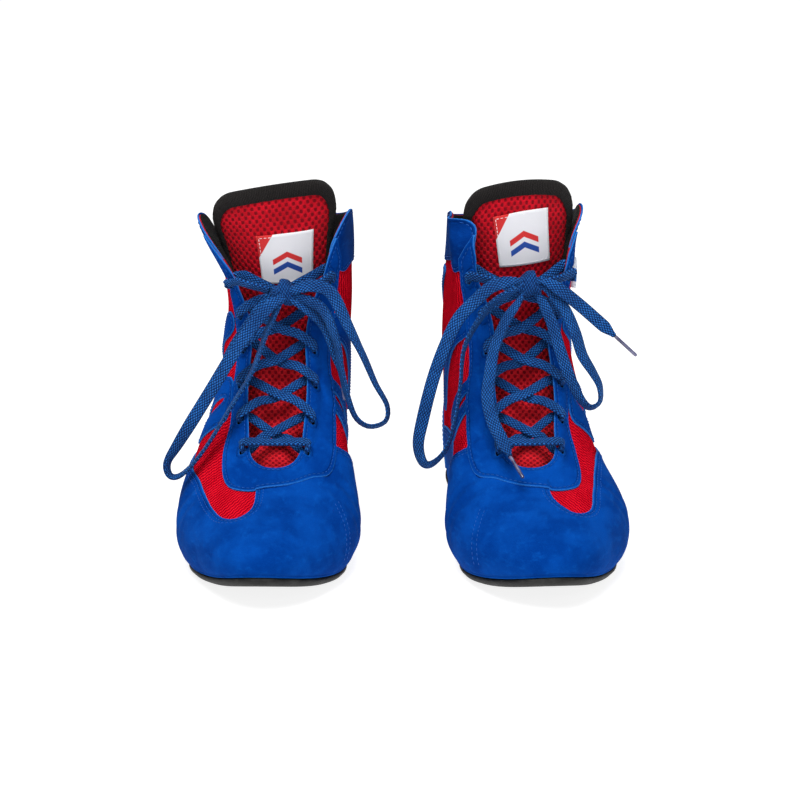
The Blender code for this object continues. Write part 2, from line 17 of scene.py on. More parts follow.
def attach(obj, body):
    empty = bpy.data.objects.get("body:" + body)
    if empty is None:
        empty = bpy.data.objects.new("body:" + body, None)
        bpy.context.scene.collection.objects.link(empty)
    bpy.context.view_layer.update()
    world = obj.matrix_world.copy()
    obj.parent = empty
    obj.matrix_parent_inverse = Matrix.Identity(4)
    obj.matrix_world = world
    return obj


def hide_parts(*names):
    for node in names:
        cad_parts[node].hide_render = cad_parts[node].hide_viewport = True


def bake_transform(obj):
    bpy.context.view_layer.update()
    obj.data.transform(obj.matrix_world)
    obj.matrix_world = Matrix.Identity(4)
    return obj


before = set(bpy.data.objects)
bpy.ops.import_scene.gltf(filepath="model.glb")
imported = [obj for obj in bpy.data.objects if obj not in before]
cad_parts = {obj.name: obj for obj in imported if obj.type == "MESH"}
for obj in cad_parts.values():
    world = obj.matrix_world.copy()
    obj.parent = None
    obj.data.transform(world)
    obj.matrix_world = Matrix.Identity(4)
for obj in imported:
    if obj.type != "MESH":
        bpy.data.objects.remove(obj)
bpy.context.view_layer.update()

MM = 0.001
BOOT_X = 72.0
PAIR_SHIFT = (-1.04, -3.03)
TOE_OUT = {"right": 1, "left": 4.5}
SIDE = {"right": -1, "left": 1}
FOLD = {"right": 0.756, "left": 0.786}      # height of the tongue's fold, as a share of its length
TILT = {"right": -4.0, "left": 1.5}
LABEL_SHIFT = {"right": -0.17, "left": 0.05}
LABEL_LOW = {"right": -0.012, "left": 0.008}  # its lower edge above the fold
LABEL_TURN = {"right": 0.5, "left": 5.5}     # how far askew it is sewn on, in degrees
KNOT = {"right": (-5, -9, 154), "left": (3, -9, 159)}

SOLE_TOP = 5.0
TOE_SPRING = 18.0
SPRING_START = -55.0
SPRING_RUN = 83.0

EYELETS = (0.106, 0.150, 0.190, 0.226, 0.254, 0.279)
EYELET_T = 0.95
EYELET_R = 3.0
EYELET_MID = 2.7

LACE_WIDTH = 7.6
LACE_THICK = 2.2
CROSSED_WIDTH = 5.8         # drawn tight, the lace is rounder
CROSSED_THICK = 2.8

#    s      sole edge a, y   top line a, y, z   bulge above the sole   lean below the top line
RIBS = (
    (0.000, (4, -138), (0, -61, 60), (0, -11, 24), (0, -32, -13)),
    (0.040, (23, -126), (7, -60, 61), (11, -12, 26), (9, -26, -13)),
    (0.080, (38, -98), (13, -54, 65), (17, -9, 28), (18, -17, -14)),
    (0.130, (49, -66), (15, -38, 77), (20, -2, 28), (28, -9, -19)),
    (0.190, (49, -22), (16, -13, 102), (13, 0, 35), (31, -2, -24)),
    (0.250, (41, 24), (18, 2, 140), (4, 0, 46), (22, 4, -36)),
    (0.310, (35, 62), (42, 8, 190), (0, 0, 50), (-12, 16, -50)),
    (0.370, (33, 95), (41, 44, 192), (1, 2, 52), (-10, 14, -56)),
    (0.440, (26, 127), (29, 92, 178), (1, 8, 48), (-1, 10, -56)),
    (0.500, (0, 141), (0, 110, 174), (0, 9, 46), (0, 8, -54)),
    (0.560, (-26, 127), (-30, 92, 178), (-3, 8, 48), (0, 10, -56)),
    (0.630, (-34, 95), (-42, 44, 192), (-5, 2, 52), (0, 14, -56)),
    (0.690, (-32, 62), (-40, 8, 190), (-8, 0, 50), (-3, 16, -50)),
    (0.750, (-31, 24), (-18, 2, 140), (-10, 0, 46), (-27, 4, -36)),
    (0.810, (-36, -22), (-16, -13, 102), (-12, 0, 35), (-30, -2, -24)),
    (0.870, (-41, -66), (-15, -38, 77), (-20, 0, 28), (-23, -8, -19)),
    (0.920, (-33, -100), (-13, -54, 65), (-14, -7, 26), (-15, -17, -14)),
    (0.960, (-18, -125), (-7, -60, 61), (-7, -12, 24), (-8, -26, -13)),
)

# tongue front: height along it, then y, z, half width, sweep back and drop of its edges, share of the top's tilt
TONGUE = np.array([
    (0.00, -62, 46, 20, 1, 7, 0.0),
    (0.14, -45, 56, 24, 2, 8, 0.0),
    (0.28, -27, 68, 26, 4, 8, 0.0),
    (0.42, -7, 88, 27, 8, 6, 0.0),
    (0.56, 7, 114, 27, 10, 3, 0.0),
    (0.70, 11, 145, 28, 11, 1, 0.0),
    (0.80, 8, 168, 29, 12, 0, 0.1),
    (0.90, 3, 192, 31.5, 12, 0, 0.6),
    (1.00, -2, 216, 36, 11, 2, 1.0),
])

# routes of the free laces, as the CAD source has them
ROUTES = {
    "right": {
        "lace_loop_lateral": [
            (-3, -19, 153), (6, -27, 148), (22, -36, 128), (39, -43, 101), (56, -49, 74), (63, -52, 62),
            (61, -52, 54), (54, -50, 55), (42, -46, 68), (26, -40, 93), (14, -32, 112), (6, -25, 133),
            (-1, -20, 148),
        ],
        "lace_loop_medial": [
            (-9, -17, 157), (-20, -20, 161), (-32, -21, 157), (-42, -24, 138), (-51, -26, 120), (-58, -28, 104),
            (-65, -30, 91), (-64, -32, 82), (-55, -33, 79), (-47, -33, 84), (-42, -31, 96), (-38, -28, 112),
            (-35, -26, 130), (-27, -21, 147), (-14, -17, 153),
        ],
        "lace_end_lateral": [(6, -16, 150), (14, -22, 140), (24, -28, 126), (31, -33, 112)],
        "lace_end_medial": [(-9, -17, 151), (-18, -16, 146), (-28, -16, 136), (-34, -19, 122), (-37, -22, 110)],
        "aglet_lateral": [(32, -34, 110.4), (39, -39, 96)],
        "aglet_medial": [(-37.6, -22.9, 108.4), (-40, -29, 94)],
    },
    "left": {
        "lace_loop_lateral": [
            (9, -15, 152), (14, -27, 142), (19, -33, 125), (24, -37, 111), (30, -40, 98), (36, -41, 92),
            (42, -40, 95), (42, -38, 104), (38, -36, 112), (32, -33, 122), (28, -30, 135), (22, -24, 148),
            (13, -17, 158),
        ],
        "lace_loop_medial": [
            (-8, -17, 163), (-20, -21, 161), (-30, -23, 153), (-40, -25, 143), (-48, -27, 127), (-55, -29, 108),
            (-61, -31, 85), (-64, -33, 69), (-61, -34, 58), (-55, -34, 58), (-47, -33, 67), (-42, -32, 85),
            (-39, -30, 105), (-36, -28, 128), (-22, -23, 149), (-8, -18, 157),
        ],
        "lace_end_lateral": [(11, -19, 163), (20, -25, 159), (31, -25, 150), (41, -25, 141), (52, -26, 131)],
        "lace_end_medial": [
            (-3, -18, 152), (-12, -24, 141), (-19, -27, 125), (-22, -33, 111), (-24, -40, 99), (-22, -50, 88),
            (-18, -60, 80), (-14, -70, 73),
        ],
        "aglet_lateral": [(53.4, -26.2, 129.8), (65, -28, 119)],
        "aglet_medial": [(-13.4, -71.4, 71.8), (-8, -84, 64)],
    },
}

# ---------------------------------------------------------------- camera

AIM = Vector((-0.001, -0.023, 0.091))
CAMERA_RISE = radians(17)
CAMERA_AWAY = 1.75

camera = bpy.data.objects.new("camera", bpy.data.cameras.new("camera"))
camera.location = AIM + Vector((0, -cos(CAMERA_RISE), sin(CAMERA_RISE))) * CAMERA_AWAY
camera.rotation_euler = (AIM - camera.location).to_track_quat("-Z", "Y").to_euler()
camera.data.sensor_width = 36
camera.data.lens = 133.2
bpy.context.scene.collection.objects.link(camera)
bpy.context.scene.camera = camera

# ---------------------------------------------------------------- shapes


def smoothstep(x, low, high):
    t = np.clip((np.asarray(x, float) - low) / (high - low), 0, 1)
    return t * t * (3 - 2 * t)


def unit(v):
    return v / np.maximum(np.linalg.norm(v, axis=-1, keepdims=True), 1e-9)


def crumple(points, size, seed, waves=7):
    """A smooth uneven field from about -1 to 1, the same at each run."""
    rng = np.random.default_rng(seed)
    total = 0
    for way, phase in zip(unit(rng.normal(size=(waves, 3))), rng.uniform(0, 2 * pi, waves)):
        total = total + np.sin(points @ way * 2 * pi / size + phase + 1.3 * np.sin(points @ way[[1, 2, 0]] / size))
    return total / waves**0.5 / 1.4


def closed_spline(places, values):
    """A smooth function of s through the ribs, the same at s and s + 1."""
    x, y = np.array(places, float), np.array(values, float)
    n = len(x)
    gap = np.diff(np.append(x, x[0] + 1.0))
    left, right = np.zeros((n, n)), np.zeros((n, y.shape[1]))
    for i in range(n):
        before, after = (i - 1) % n, (i + 1) % n
        left[i, before] += gap[before]
        left[i, i] += 2 * (gap[before] + gap[i])
        left[i, after] += gap[i]
        right[i] = 6 * ((y[after] - y[i]) / gap[i] - (y[i] - y[before]) / gap[before])
    bend = np.linalg.solve(left, right)

    def value(s):
        s = np.mod(np.asarray(s, float) - x[0], 1.0) + x[0]
        i = np.clip(np.searchsorted(x, s, side="right") - 1, 0, n - 1)
        j = (i + 1) % n
        w = gap[i][..., None]
        a, b = (x[i] + gap[i] - s)[..., None], (s - x[i])[..., None]
        cubic = (bend[i] * a**3 + bend[j] * b**3) / (6 * w)
        return cubic + (y[i] / w - bend[i] * w / 6) * a + (y[j] / w - bend[j] * w / 6) * b

    return value


sole_edge, top_line, bulge, lean = (
    closed_spline([rib[0] for rib in RIBS], [rib[k] for rib in RIBS]) for k in (1, 2, 3, 4)
)


def toe_spring(y):
    return TOE_SPRING * np.clip((SPRING_START - np.asarray(y, float)) / SPRING_RUN, 0, None) ** 2


def skin(s, t):
    s, t = np.broadcast_arrays(np.asarray(s, float), np.asarray(t, float))
    foot = sole_edge(s)
    p0 = np.concatenate([foot, (SOLE_TOP + toe_spring(foot[..., 1]))[..., None]], -1)
    p3 = top_line(s)
    p1, p2 = p0 + bulge(s), p3 + lean(s)
    t = t[..., None]
    return (1 - t) ** 3 * p0 + 3 * (1 - t) ** 2 * t * p1 + 3 * (1 - t) * t * t * p2 + t**3 * p3


def skin_normal(s, t, step=2e-3):
    s, t = np.asarray(s, float), np.asarray(t, float)
    along_s = skin(s + step, t) - skin(s - step, t)
    along_t = skin(s, np.clip(t + step, 0, 1.02)) - skin(s, np.clip(t - step, 0, 1.02))
    return unit(np.cross(along_s, along_t))


def length_table(across):
    """Running lengths on the skin, in millimetres: round it at mid height, or up it at each s."""
    if across:
        s = np.linspace(-0.6, 1.1, 341)
        step = np.linalg.norm(np.diff(skin(s, 0.45), axis=0), axis=1)
        return s, np.concatenate([[0], np.cumsum(step)])
    s, t = np.meshgrid(np.linspace(0, 1, 81), np.linspace(0, 1.02, 52), indexing="ij")
    step = np.linalg.norm(np.diff(skin(s, t), axis=1), axis=2)
    return np.concatenate([np.zeros((81, 1)), np.cumsum(step, 1)], 1)


AROUND = length_table(True)
UPWARD = length_table(False)


def cloth_uv(s, t):
    """Where a point of the skin lies on the flat cloth, in millimetres."""
    rows, columns = np.mod(s, 1) * 80, np.clip(t, 0, 1.02) / 0.02
    i, j = np.minimum(rows.astype(int), 79), np.minimum(columns.astype(int), 50)
    f, g = rows - i, columns - j
    up = (UPWARD[i, j] * (1 - g) + UPWARD[i, j + 1] * g) * (1 - f)
    up = up + (UPWARD[i + 1, j] * (1 - g) + UPWARD[i + 1, j + 1] * g) * f
    return np.stack([np.interp(s, *AROUND), up], -1)


def smooth_route(points, per_span=12):
    """Points on a smooth curve through the route's own points, with where each lies along them."""
    p = np.array(points, float)
    p = np.vstack([2 * p[0] - p[1], p, 2 * p[-1] - p[-2]])
    fine, index = [], []
    for k in range(len(p) - 3):
        a, b, c, d = p[k], p[k + 1], p[k + 2], p[k + 3]
        for u in np.arange(per_span) / per_span:
            fine.append(b + 0.5 * u * (c - a + u * (2 * a - 5 * b + 4 * c - d + u * (3 * (b - c) + d - a))))
            index.append(k + u)
    return np.array(fine + [p[-2]]), np.array(index + [len(p) - 3])


def rounded(outline, times=3):
    """A closed outline with its corners cut round."""
    p = np.array(outline, float)
    for _ in range(times):
        after = np.roll(p, -1, 0)
        p = np.stack([0.75 * p + 0.25 * after, 0.25 * p + 0.75 * after], 1).reshape(-1, 2)
    return p


def through(keys, per_span=5):
    """An open line in (s, t) that passes smoothly through its keys."""
    return smooth_route(keys, per_span)[0]


def ring(s, t, radius, count=20):
    """A round hole in the skin, as an outline in (s, t)."""
    h = 1e-3
    per_s = np.linalg.norm(skin(s + h, t) - skin(s - h, t)) / (2 * h)
    per_t = np.linalg.norm(skin(s, t + h) - skin(s, t - h)) / (2 * h)
    turn = np.arange(count) * 2 * pi / count
    return np.stack([s + radius * np.cos(turn) / per_s, t + radius * np.sin(turn) / per_t], -1)


class Shape:
    """Points, faces and what rides on the points: flat place on the cloth and distance from the cut edge."""

    def __init__(self, points, faces, uv=None, edge=None, slots=None):
        self.points, self.faces = np.asarray(points, float), [tuple(face) for face in faces]
        self.uv = np.zeros((len(self.points), 2)) if uv is None else np.asarray(uv, float)
        self.edge = np.full(len(self.points), 9.0) if edge is None else np.asarray(edge, float)
        self.slots = [0] * len(self.faces) if slots is None else list(slots)

    def plus(self, other):
        count = len(self.points)
        faces = self.faces + [tuple(k + count for k in face) for face in other.faces]
        return Shape(
            np.vstack([self.points, other.points]),
            faces,
            np.vstack([self.uv, other.uv]),
            np.concatenate([self.edge, other.edge]),
            self.slots + other.slots,
        )


def joined(shapes):
    """Many shapes as one, put together in one go."""
    offset, faces, slots = 0, [], []
    for shape in shapes:
        faces += [tuple(k + offset for k in face) for face in shape.faces]
        slots += shape.slots
        offset += len(shape.points)
    stack = [np.concatenate([getattr(shape, name) for shape in shapes]) for name in ("points", "uv", "edge")]
    return Shape(stack[0], faces, stack[1], stack[2], slots)


class Panel:
    """A piece cut from the skin: inside its first outline, outside the others. Outlines are in (s, t)."""

    def __init__(self, *outlines, cell=1.5):
        self.edges = np.concatenate([np.stack([o, np.roll(o, -1, 0)], 1) for o in outlines])
        dense = []
        for a, b in self.edges:
            count = max(1, ceil(np.linalg.norm(skin(*a) - skin(*b)) / 0.5))
            dense.append(a + (b - a) * (np.arange(count) / count)[:, None])
        dense = np.concatenate(dense)
        self.border = skin(dense[:, 0], dense[:, 1])
        self.tree = KDTree(len(self.border))
        for k, point in enumerate(self.border):
            self.tree.insert(point, k)
        self.tree.balance()
        low, high = dense.min(0), dense.max(0)
        middle = (low + high) / 2
        per_s = np.linalg.norm(skin(middle[0] + 1e-3, 0.3) - skin(middle[0] - 1e-3, 0.3)) / 2e-3
        per_t = np.linalg.norm(skin(middle[0], middle[1] + 1e-3) - skin(middle[0], middle[1] - 1e-3)) / 2e-3
        step = np.array([cell / max(per_s, 430), cell / max(per_t, 90)])
        low, high = low - 1.3 * step, high + 1.3 * step
        count = np.ceil((high - low) / step).astype(int) + 1
        self.s, self.t = np.meshgrid(
            np.linspace(low[0], high[0], count[0]), np.linspace(low[1], high[1], count[1]), indexing="ij"
        )
        self.far, _ = self.distance(self.s, self.t)

    def distance(self, s, t):
        """Distance to the cut edge in millimetres, positive inside, and the nearest point of the edge."""
        flat_s, flat_t = np.ravel(s), np.ravel(t)
        points = skin(flat_s, flat_t)
        found = [self.tree.find(p) for p in points]
        far = np.array([f[2] for f in found])
        near = self.border[[f[1] for f in found]]
        inside = np.zeros(len(flat_s), bool)
        for (s0, t0), (s1, t1) in self.edges:
            if t0 != t1:
                crosses = (t0 > flat_t) != (t1 > flat_t)
                inside ^= crosses & (flat_s < s0 + (flat_t - t0) * (s1 - s0) / (t1 - t0))
        return np.where(inside, far, -far).reshape(np.shape(s)), near.reshape(np.shape(s) + (3,))

    def cut(self, level):
        """(s, t) of the points further than level from the edge, the faces between them, and the segments along it."""
        up = self.s.shape[1]
        far = self.far - level
        inside = far > 0
        ids = np.full(far.shape, -1)
        ids[inside] = np.arange(inside.sum())
        places = [np.stack([self.s[inside], self.t[inside]], -1)]
        corners = np.stack([inside[:-1, :-1], inside[1:, :-1], inside[1:, 1:], inside[:-1, 1:]])
        whole = corners.all(0)
        mixed = corners.any(0) & ~whole
        quads = np.stack([ids[:-1, :-1], ids[1:, :-1], ids[1:, 1:], ids[:-1, 1:]], -1)[whole]
        faces, segments, crossings, extra = quads.tolist(), [], {}, []
        count = int(inside.sum())
        for i, j in zip(*np.nonzero(mixed)):
            loop = [(i, j), (i + 1, j), (i + 1, j + 1), (i, j + 1)]
            face, leave, enter = [], None, None
            for a, b in zip(loop, loop[1:] + loop[:1]):
                if inside[a]:
                    face.append(int(ids[a]))
                if inside[a] != inside[b]:
                    key = (a, b) if a < b else (b, a)
                    if key not in crossings:
                        f = np.clip(far[key[0]] / (far[key[0]] - far[key[1]]), 0.06, 0.94)
                        crossings[key] = count + len(extra)
                        extra.append((
                            self.s[key[0]] * (1 - f) + self.s[key[1]] * f,
                            self.t[key[0]] * (1 - f) + self.t[key[1]] * f,
                        ))
                    face.append(crossings[key])
                    if inside[a]:
                        leave = crossings[key]
                    else:
                        enter = crossings[key]
            faces.append(face)
            segments.append((leave, enter))
        if extra:
            places.append(np.array(extra))
        return np.concatenate(places), faces, segments

    def chains(self, level):
        """The lines in (s, t) that keep level millimetres from the edge."""
        places, _, segments = self.cut(level)
        after = dict(segments)
        lines = []
        while after:
            start = next((k for k in after if k not in set(after.values())), next(iter(after)))
            line = [start]
            while line[-1] in after:
                line.append(after.pop(line[-1]))
            lines.append(places[line])
        return lines

    def slab(self, outer, inner, rim=0.55, turn=0.5, wave=None):
        """The cut piece as a solid with rounded edges. outer and inner give its depths from (s, t, distance to edge)."""
        places, faces, segments = self.cut(rim)
        s, t = places.T
        far, near = self.distance(s, t)
        normal = skin_normal(s, t)
        base = skin(s, t)
        high, low = outer(s, t, far), inner(s, t, far)
        if wave is not None:
            high = high + swelled(wave, base, s, t, far)
        cut_ids = np.array(sorted({k for pair in segments for k in pair}))
        row = {k: n for n, k in enumerate(cut_ids)}
        away = near[cut_ids] - base[cut_ids]
        away = unit(away - normal[cut_ids] * (away * normal[cut_ids]).sum(-1, keepdims=True))
        count = len(places)
        points = [base + normal * high[:, None], base + normal * low[:, None]]
        points[1][cut_ids] += away * rim
        edges = [far, np.maximum(far, 1.0)]
        uv = cloth_uv(s, t)
        uvs = [uv, uv]
        rings = []
        for angle in (35, 65, 90):
            out, drop = rim * sin(radians(angle)), turn * (1 - cos(radians(angle)))
            rings.append(2 * count + len(rings) * len(cut_ids))
            points.append(base[cut_ids] + normal[cut_ids] * (high[cut_ids] - drop)[:, None] + away * out)
            edges.append(np.full(len(cut_ids), rim * (1 - sin(radians(angle)))))
            uvs.append(uv[cut_ids])
        solid = list(faces) + [[k + count for k in reversed(face)] for face in faces]
        slots = [0] * len(solid)
        for p, q in segments:
            line_p = [p] + [ring_start + row[p] for ring_start in rings] + [p + count]
            line_q = [q] + [ring_start + row[q] for ring_start in rings] + [q + count]
            for k in range(4):
                solid.append([line_q[k], line_p[k], line_p[k + 1], line_q[k + 1]])
                slots.append(1 if k else 0)
        return Shape(np.concatenate(points), solid, np.concatenate(uvs), np.concatenate(edges), slots)


def stitches(lines, depth, pitch=2.9, length=1.9, radius=0.27, keep=None):
    """Threads lying along lines in (s, t), each a small bead sunk at both ends."""
    shapes = []
    for line in lines:
        base = skin(line[:, 0], line[:, 1])
        run = np.concatenate([[0], np.cumsum(np.linalg.norm(np.diff(base, axis=0), axis=1))])
        count = int(run[-1] // pitch)
        if count < 2:
            continue
        stops = (np.arange(count) + 0.5) * run[-1] / count
        s, t = np.interp(stops, run, line[:, 0]), np.interp(stops, run, line[:, 1])
        allowed = np.ones(count, bool) if keep is None else keep(s, t)
        middle, normal = skin(s, t), skin_normal(s, t)
        ahead_s, ahead_t = np.interp(stops + 0.4, run, line[:, 0]), np.interp(stops + 0.4, run, line[:, 1])
        along = unit(skin(ahead_s, ahead_t) - middle)
        lift = depth(s, t)
        for k in np.nonzero(allowed)[0]:
            side = np.cross(normal[k], along[k])
            shapes.append(bead(middle[k] + normal[k] * lift[k], along[k], side, normal[k], length, radius))
    return shapes


BEAD_RINGS = ((-0.5, 0.35, -0.45), (-0.3, 0.9, -0.05), (0.0, 1.0, 0.05), (0.3, 0.9, -0.05), (0.5, 0.35, -0.45))
BEAD_SIDES = 6


def bead(centre, along, side, normal, length, radius):
    points = []
    for place, girth, drop in BEAD_RINGS:
        for k in range(BEAD_SIDES):
            q = k * 2 * pi / BEAD_SIDES
            points.append(
                centre + along * place * length + (side * cos(q) + normal * (sin(q) + drop)) * radius * girth
            )
    return Shape(points, tube_faces(len(BEAD_RINGS), BEAD_SIDES))


def tube_faces(rings, sides, closed=False):
    faces = []
    for i in range(rings if closed else rings - 1):
        here, there = i * sides, (i + 1) % rings * sides
        faces += [(here + k, here + (k + 1) % sides, there + (k + 1) % sides, there + k) for k in range(sides)]
    if not closed:
        faces += [tuple(reversed(range(sides))), tuple((rings - 1) * sides + k for k in range(sides))]
    return faces


def even(points, spacing, *more):
    """The route with its points the same distance apart, and whatever else varies along it."""
    run = np.concatenate([[0], np.cumsum(np.linalg.norm(np.diff(points, axis=0), axis=1))])
    stops = np.linspace(0, run[-1], max(2, round(run[-1] / spacing) + 1))
    found = []
    for values in (points, *more):
        values = np.asarray(values, float).reshape(len(run), -1)
        found.append(np.stack([np.interp(stops, run, values[:, k]) for k in range(values.shape[1])], -1))
    return found


LACE_SIDES = 20


def ribbon(path, wide, width, thick, closed=False):
    """A flat braided lace along path, with its broad side along wide. width and thick may vary along it."""
    count = len(path)
    width, thick = np.broadcast_to(width, count).astype(float), np.broadcast_to(thick, count).astype(float)
    ahead = unit(np.roll(path, -1, 0) - np.roll(path, 1, 0) if closed else np.gradient(path, axis=0))
    wide = unit(wide - ahead * (wide * ahead).sum(-1, keepdims=True))
    up = np.cross(ahead, wide)
    run = np.concatenate([[0], np.cumsum(np.linalg.norm(np.diff(path, axis=0), axis=1))])
    points, uv = [], []
    for k in range(LACE_SIDES):
        q = k * 2 * pi / LACE_SIDES
        x, y = np.sign(cos(q)) * abs(cos(q)) ** 0.75, np.sign(sin(q)) * abs(sin(q)) ** 0.85
        plait = np.sin(2 * pi * (run / 2.6 + 1.5 * abs(x))) * np.cos(2 * pi * x * 1.5)
        girth = 1 + 0.09 * plait * abs(y)
        points.append(path + wide * (x * width / 2)[:, None] + up * (y * thick / 2 * girth)[:, None])
        uv.append(np.stack([x * width / 2 + (20 if y < 0 else 0), run], -1))
    points = np.stack(points, 1).reshape(-1, 3)
    uv = np.stack(uv, 1).reshape(-1, 2)
    return Shape(points, tube_faces(count, LACE_SIDES, closed), uv)


# ---------------------------------------------------------------- placing


def in_frame(boot, points):
    """Points of a boot's own frame in the shared frame, in metres."""
    p = np.asarray(points, float) * (SIDE[boot], 1, 1)
    turn = radians(TOE_OUT[boot]) * SIDE[boot]
    x = p[..., 0] * cos(turn) - p[..., 1] * sin(turn) + BOOT_X * SIDE[boot] + PAIR_SHIFT[0]
    y = p[..., 0] * sin(turn) + p[..., 1] * cos(turn) + PAIR_SHIFT[1]
    return np.stack([x, y, p[..., 2]], -1) * MM


# how each boot has settled from the shared skin: centre, reach along a, y and z, and how far the cloth moved there
SETTLED = {
    "right": (
        ((41, 8, 190), (22, 20, 26), (4.0, 0, 2)),
        ((42, 60, 186), (40, 52, 50), (0, 0, -13)),
        ((44, 24, 146), (40, 50, 40), (-4.0, 0, 0)),
        ((34, 5, 166), (17, 22, 21), (-4.0, 0, -6)),
        ((-41, 10, 184), (26, 40, 40), (4.0, 0, 0)),
    ),
    "left": (
        ((-44, 44, 165), (40, 44, 58), (6.0, 0, 0)),
        ((-42, 28, 191), (14, 26, 16), (1.5, 0, -4.0)),
        ((-39, 3, 184), (26, 15, 34), (7.0, -2.5, 1.0)),
        ((-39, 8, 189), (13, 13, 13), (5.0, -1.0, 3.5)),
        ((46, 12, 190), (60, 50, 46), (-7.0, 0, 3.5)),
        ((44, 24, 140), (44, 56, 62), (-4.0, 0, 0)),
        ((46, -25, 62), (44, 60, 42), (-5.0, 0, 0)),
    ),
}


def settled(boot, points):
    points = np.array(points, float)
    moved = points.copy()
    for centre, reach, shift in SETTLED[boot]:
        off = np.linalg.norm((points - centre) / reach, axis=-1)
        moved += np.array(shift, float) * smoothstep(off, 1.0, 0.1)[..., None]
    return moved


def piece(boot, name, shape, materials, nodes, body="boot", rides=True, settle=False):
    """A visual piece from a shape in the boot's frame. It stands for the CAD nodes named."""
    points = settled(boot, shape.points) if settle else shape.points
    faces = shape.faces if SIDE[boot] > 0 else [tuple(reversed(face)) for face in shape.faces]
    mesh = bpy.data.meshes.new(f"{boot}_{name}_look")
    mesh.from_pydata(in_frame(boot, points).tolist(), [], faces)
    for material in materials:
        mesh.materials.append(material)
    mesh.polygons.foreach_set("material_index", np.array(shape.slots, np.int32))
    mesh.polygons.foreach_set("use_smooth", np.ones(len(faces), bool))
    corners = np.zeros(len(mesh.loops), np.int32)
    mesh.loops.foreach_get("vertex_index", corners)
    uv = mesh.uv_layers.new(name="cloth")
    uv.data.foreach_set("uv", (shape.uv[corners] * MM).astype(np.float32).ravel())
    edge = mesh.attributes.new("edge", "FLOAT", "POINT")
    edge.data.foreach_set("value", shape.edge.astype(np.float32))
    mesh.update()
    made = bpy.data.objects.new(f"{boot}_{name}_look", mesh)
    bpy.context.scene.collection.objects.link(made)
    if nodes:
        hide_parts(*[f"{boot}_{node}" for node in nodes])
    if rides:
        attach(made, f"{boot}_{body}")
    return made


# ---------------------------------------------------------------- materials


class Look:
    """A Principled material and short ways to add nodes to it."""

    def __init__(self, name, **fixed):
        self.material = bpy.data.materials.new(name)
        self.material.use_nodes = True
        self.tree = self.material.node_tree
        self.shader = self.tree.nodes["Principled BSDF"]
        for key, value in fixed.items():
            self.shader.inputs[key.replace("_", " ")].default_value = value

    def node(self, kind, inputs=None, **settings):
        made = self.tree.nodes.new("ShaderNode" + kind)
        for key, value in settings.items():
            setattr(made, key, value)
        for key, value in (inputs or {}).items():
            if isinstance(value, bpy.types.NodeSocket):
                self.tree.links.new(value, made.inputs[key])
            else:
                made.inputs[key].default_value = value
        return made

    def maths(self, operation, *values, clamp=False):
        return self.node("Math", dict(enumerate(values)), operation=operation, use_clamp=clamp).outputs[0]

    def ramp(self, value, low, high, to_low=0.0, to_high=1.0):
        inputs = {0: value, 1: low, 2: high, 3: to_low, 4: to_high}
        return self.node("MapRange", inputs, interpolation_type="SMOOTHSTEP").outputs[0]

    def mix(self, share, a, b):
        a, b = ((*c, 1.0) if isinstance(c, tuple) else c for c in (a, b))
        return self.node("MixRGB", {0: share, 1: a, 2: b}).outputs[0]

    def noise(self, where, scale, detail=2.0, roughness=0.5):
        inputs = {"Vector": where, "Scale": scale, "Detail": detail, "Roughness": roughness}
        return self.node("TexNoise", inputs).outputs[0]

    def place(self):
        return self.node("TexCoord").outputs["Object"]

    def cloth(self):
        """x and y on the flat cloth in millimetres, and the vector in metres."""
        flat = self.node("UVMap", uv_map="cloth").outputs[0]
        split = self.node("SeparateXYZ", {0: flat})
        return self.maths("MULTIPLY", split.outputs[0], 1000.0), self.maths("MULTIPLY", split.outputs[1], 1000.0), flat

    def edge(self):
        return self.node("Attribute", attribute_name="edge").outputs["Fac"]

    def bump(self, height, distance, strength=1.0, under=None):
        inputs = {"Strength": strength, "Distance": distance, "Height": height}
        if under is not None:
            inputs["Normal"] = under
        return self.node("Bump", inputs).outputs[0]

    def finish(self, colour, normal=None, roughness=None):
        self.tree.links.new(colour, self.shader.inputs["Base Color"])
        if normal is not None:
            self.tree.links.new(normal, self.shader.inputs["Normal"])
        if roughness is not None:
            self.tree.links.new(roughness, self.shader.inputs["Roughness"])
        return self.material


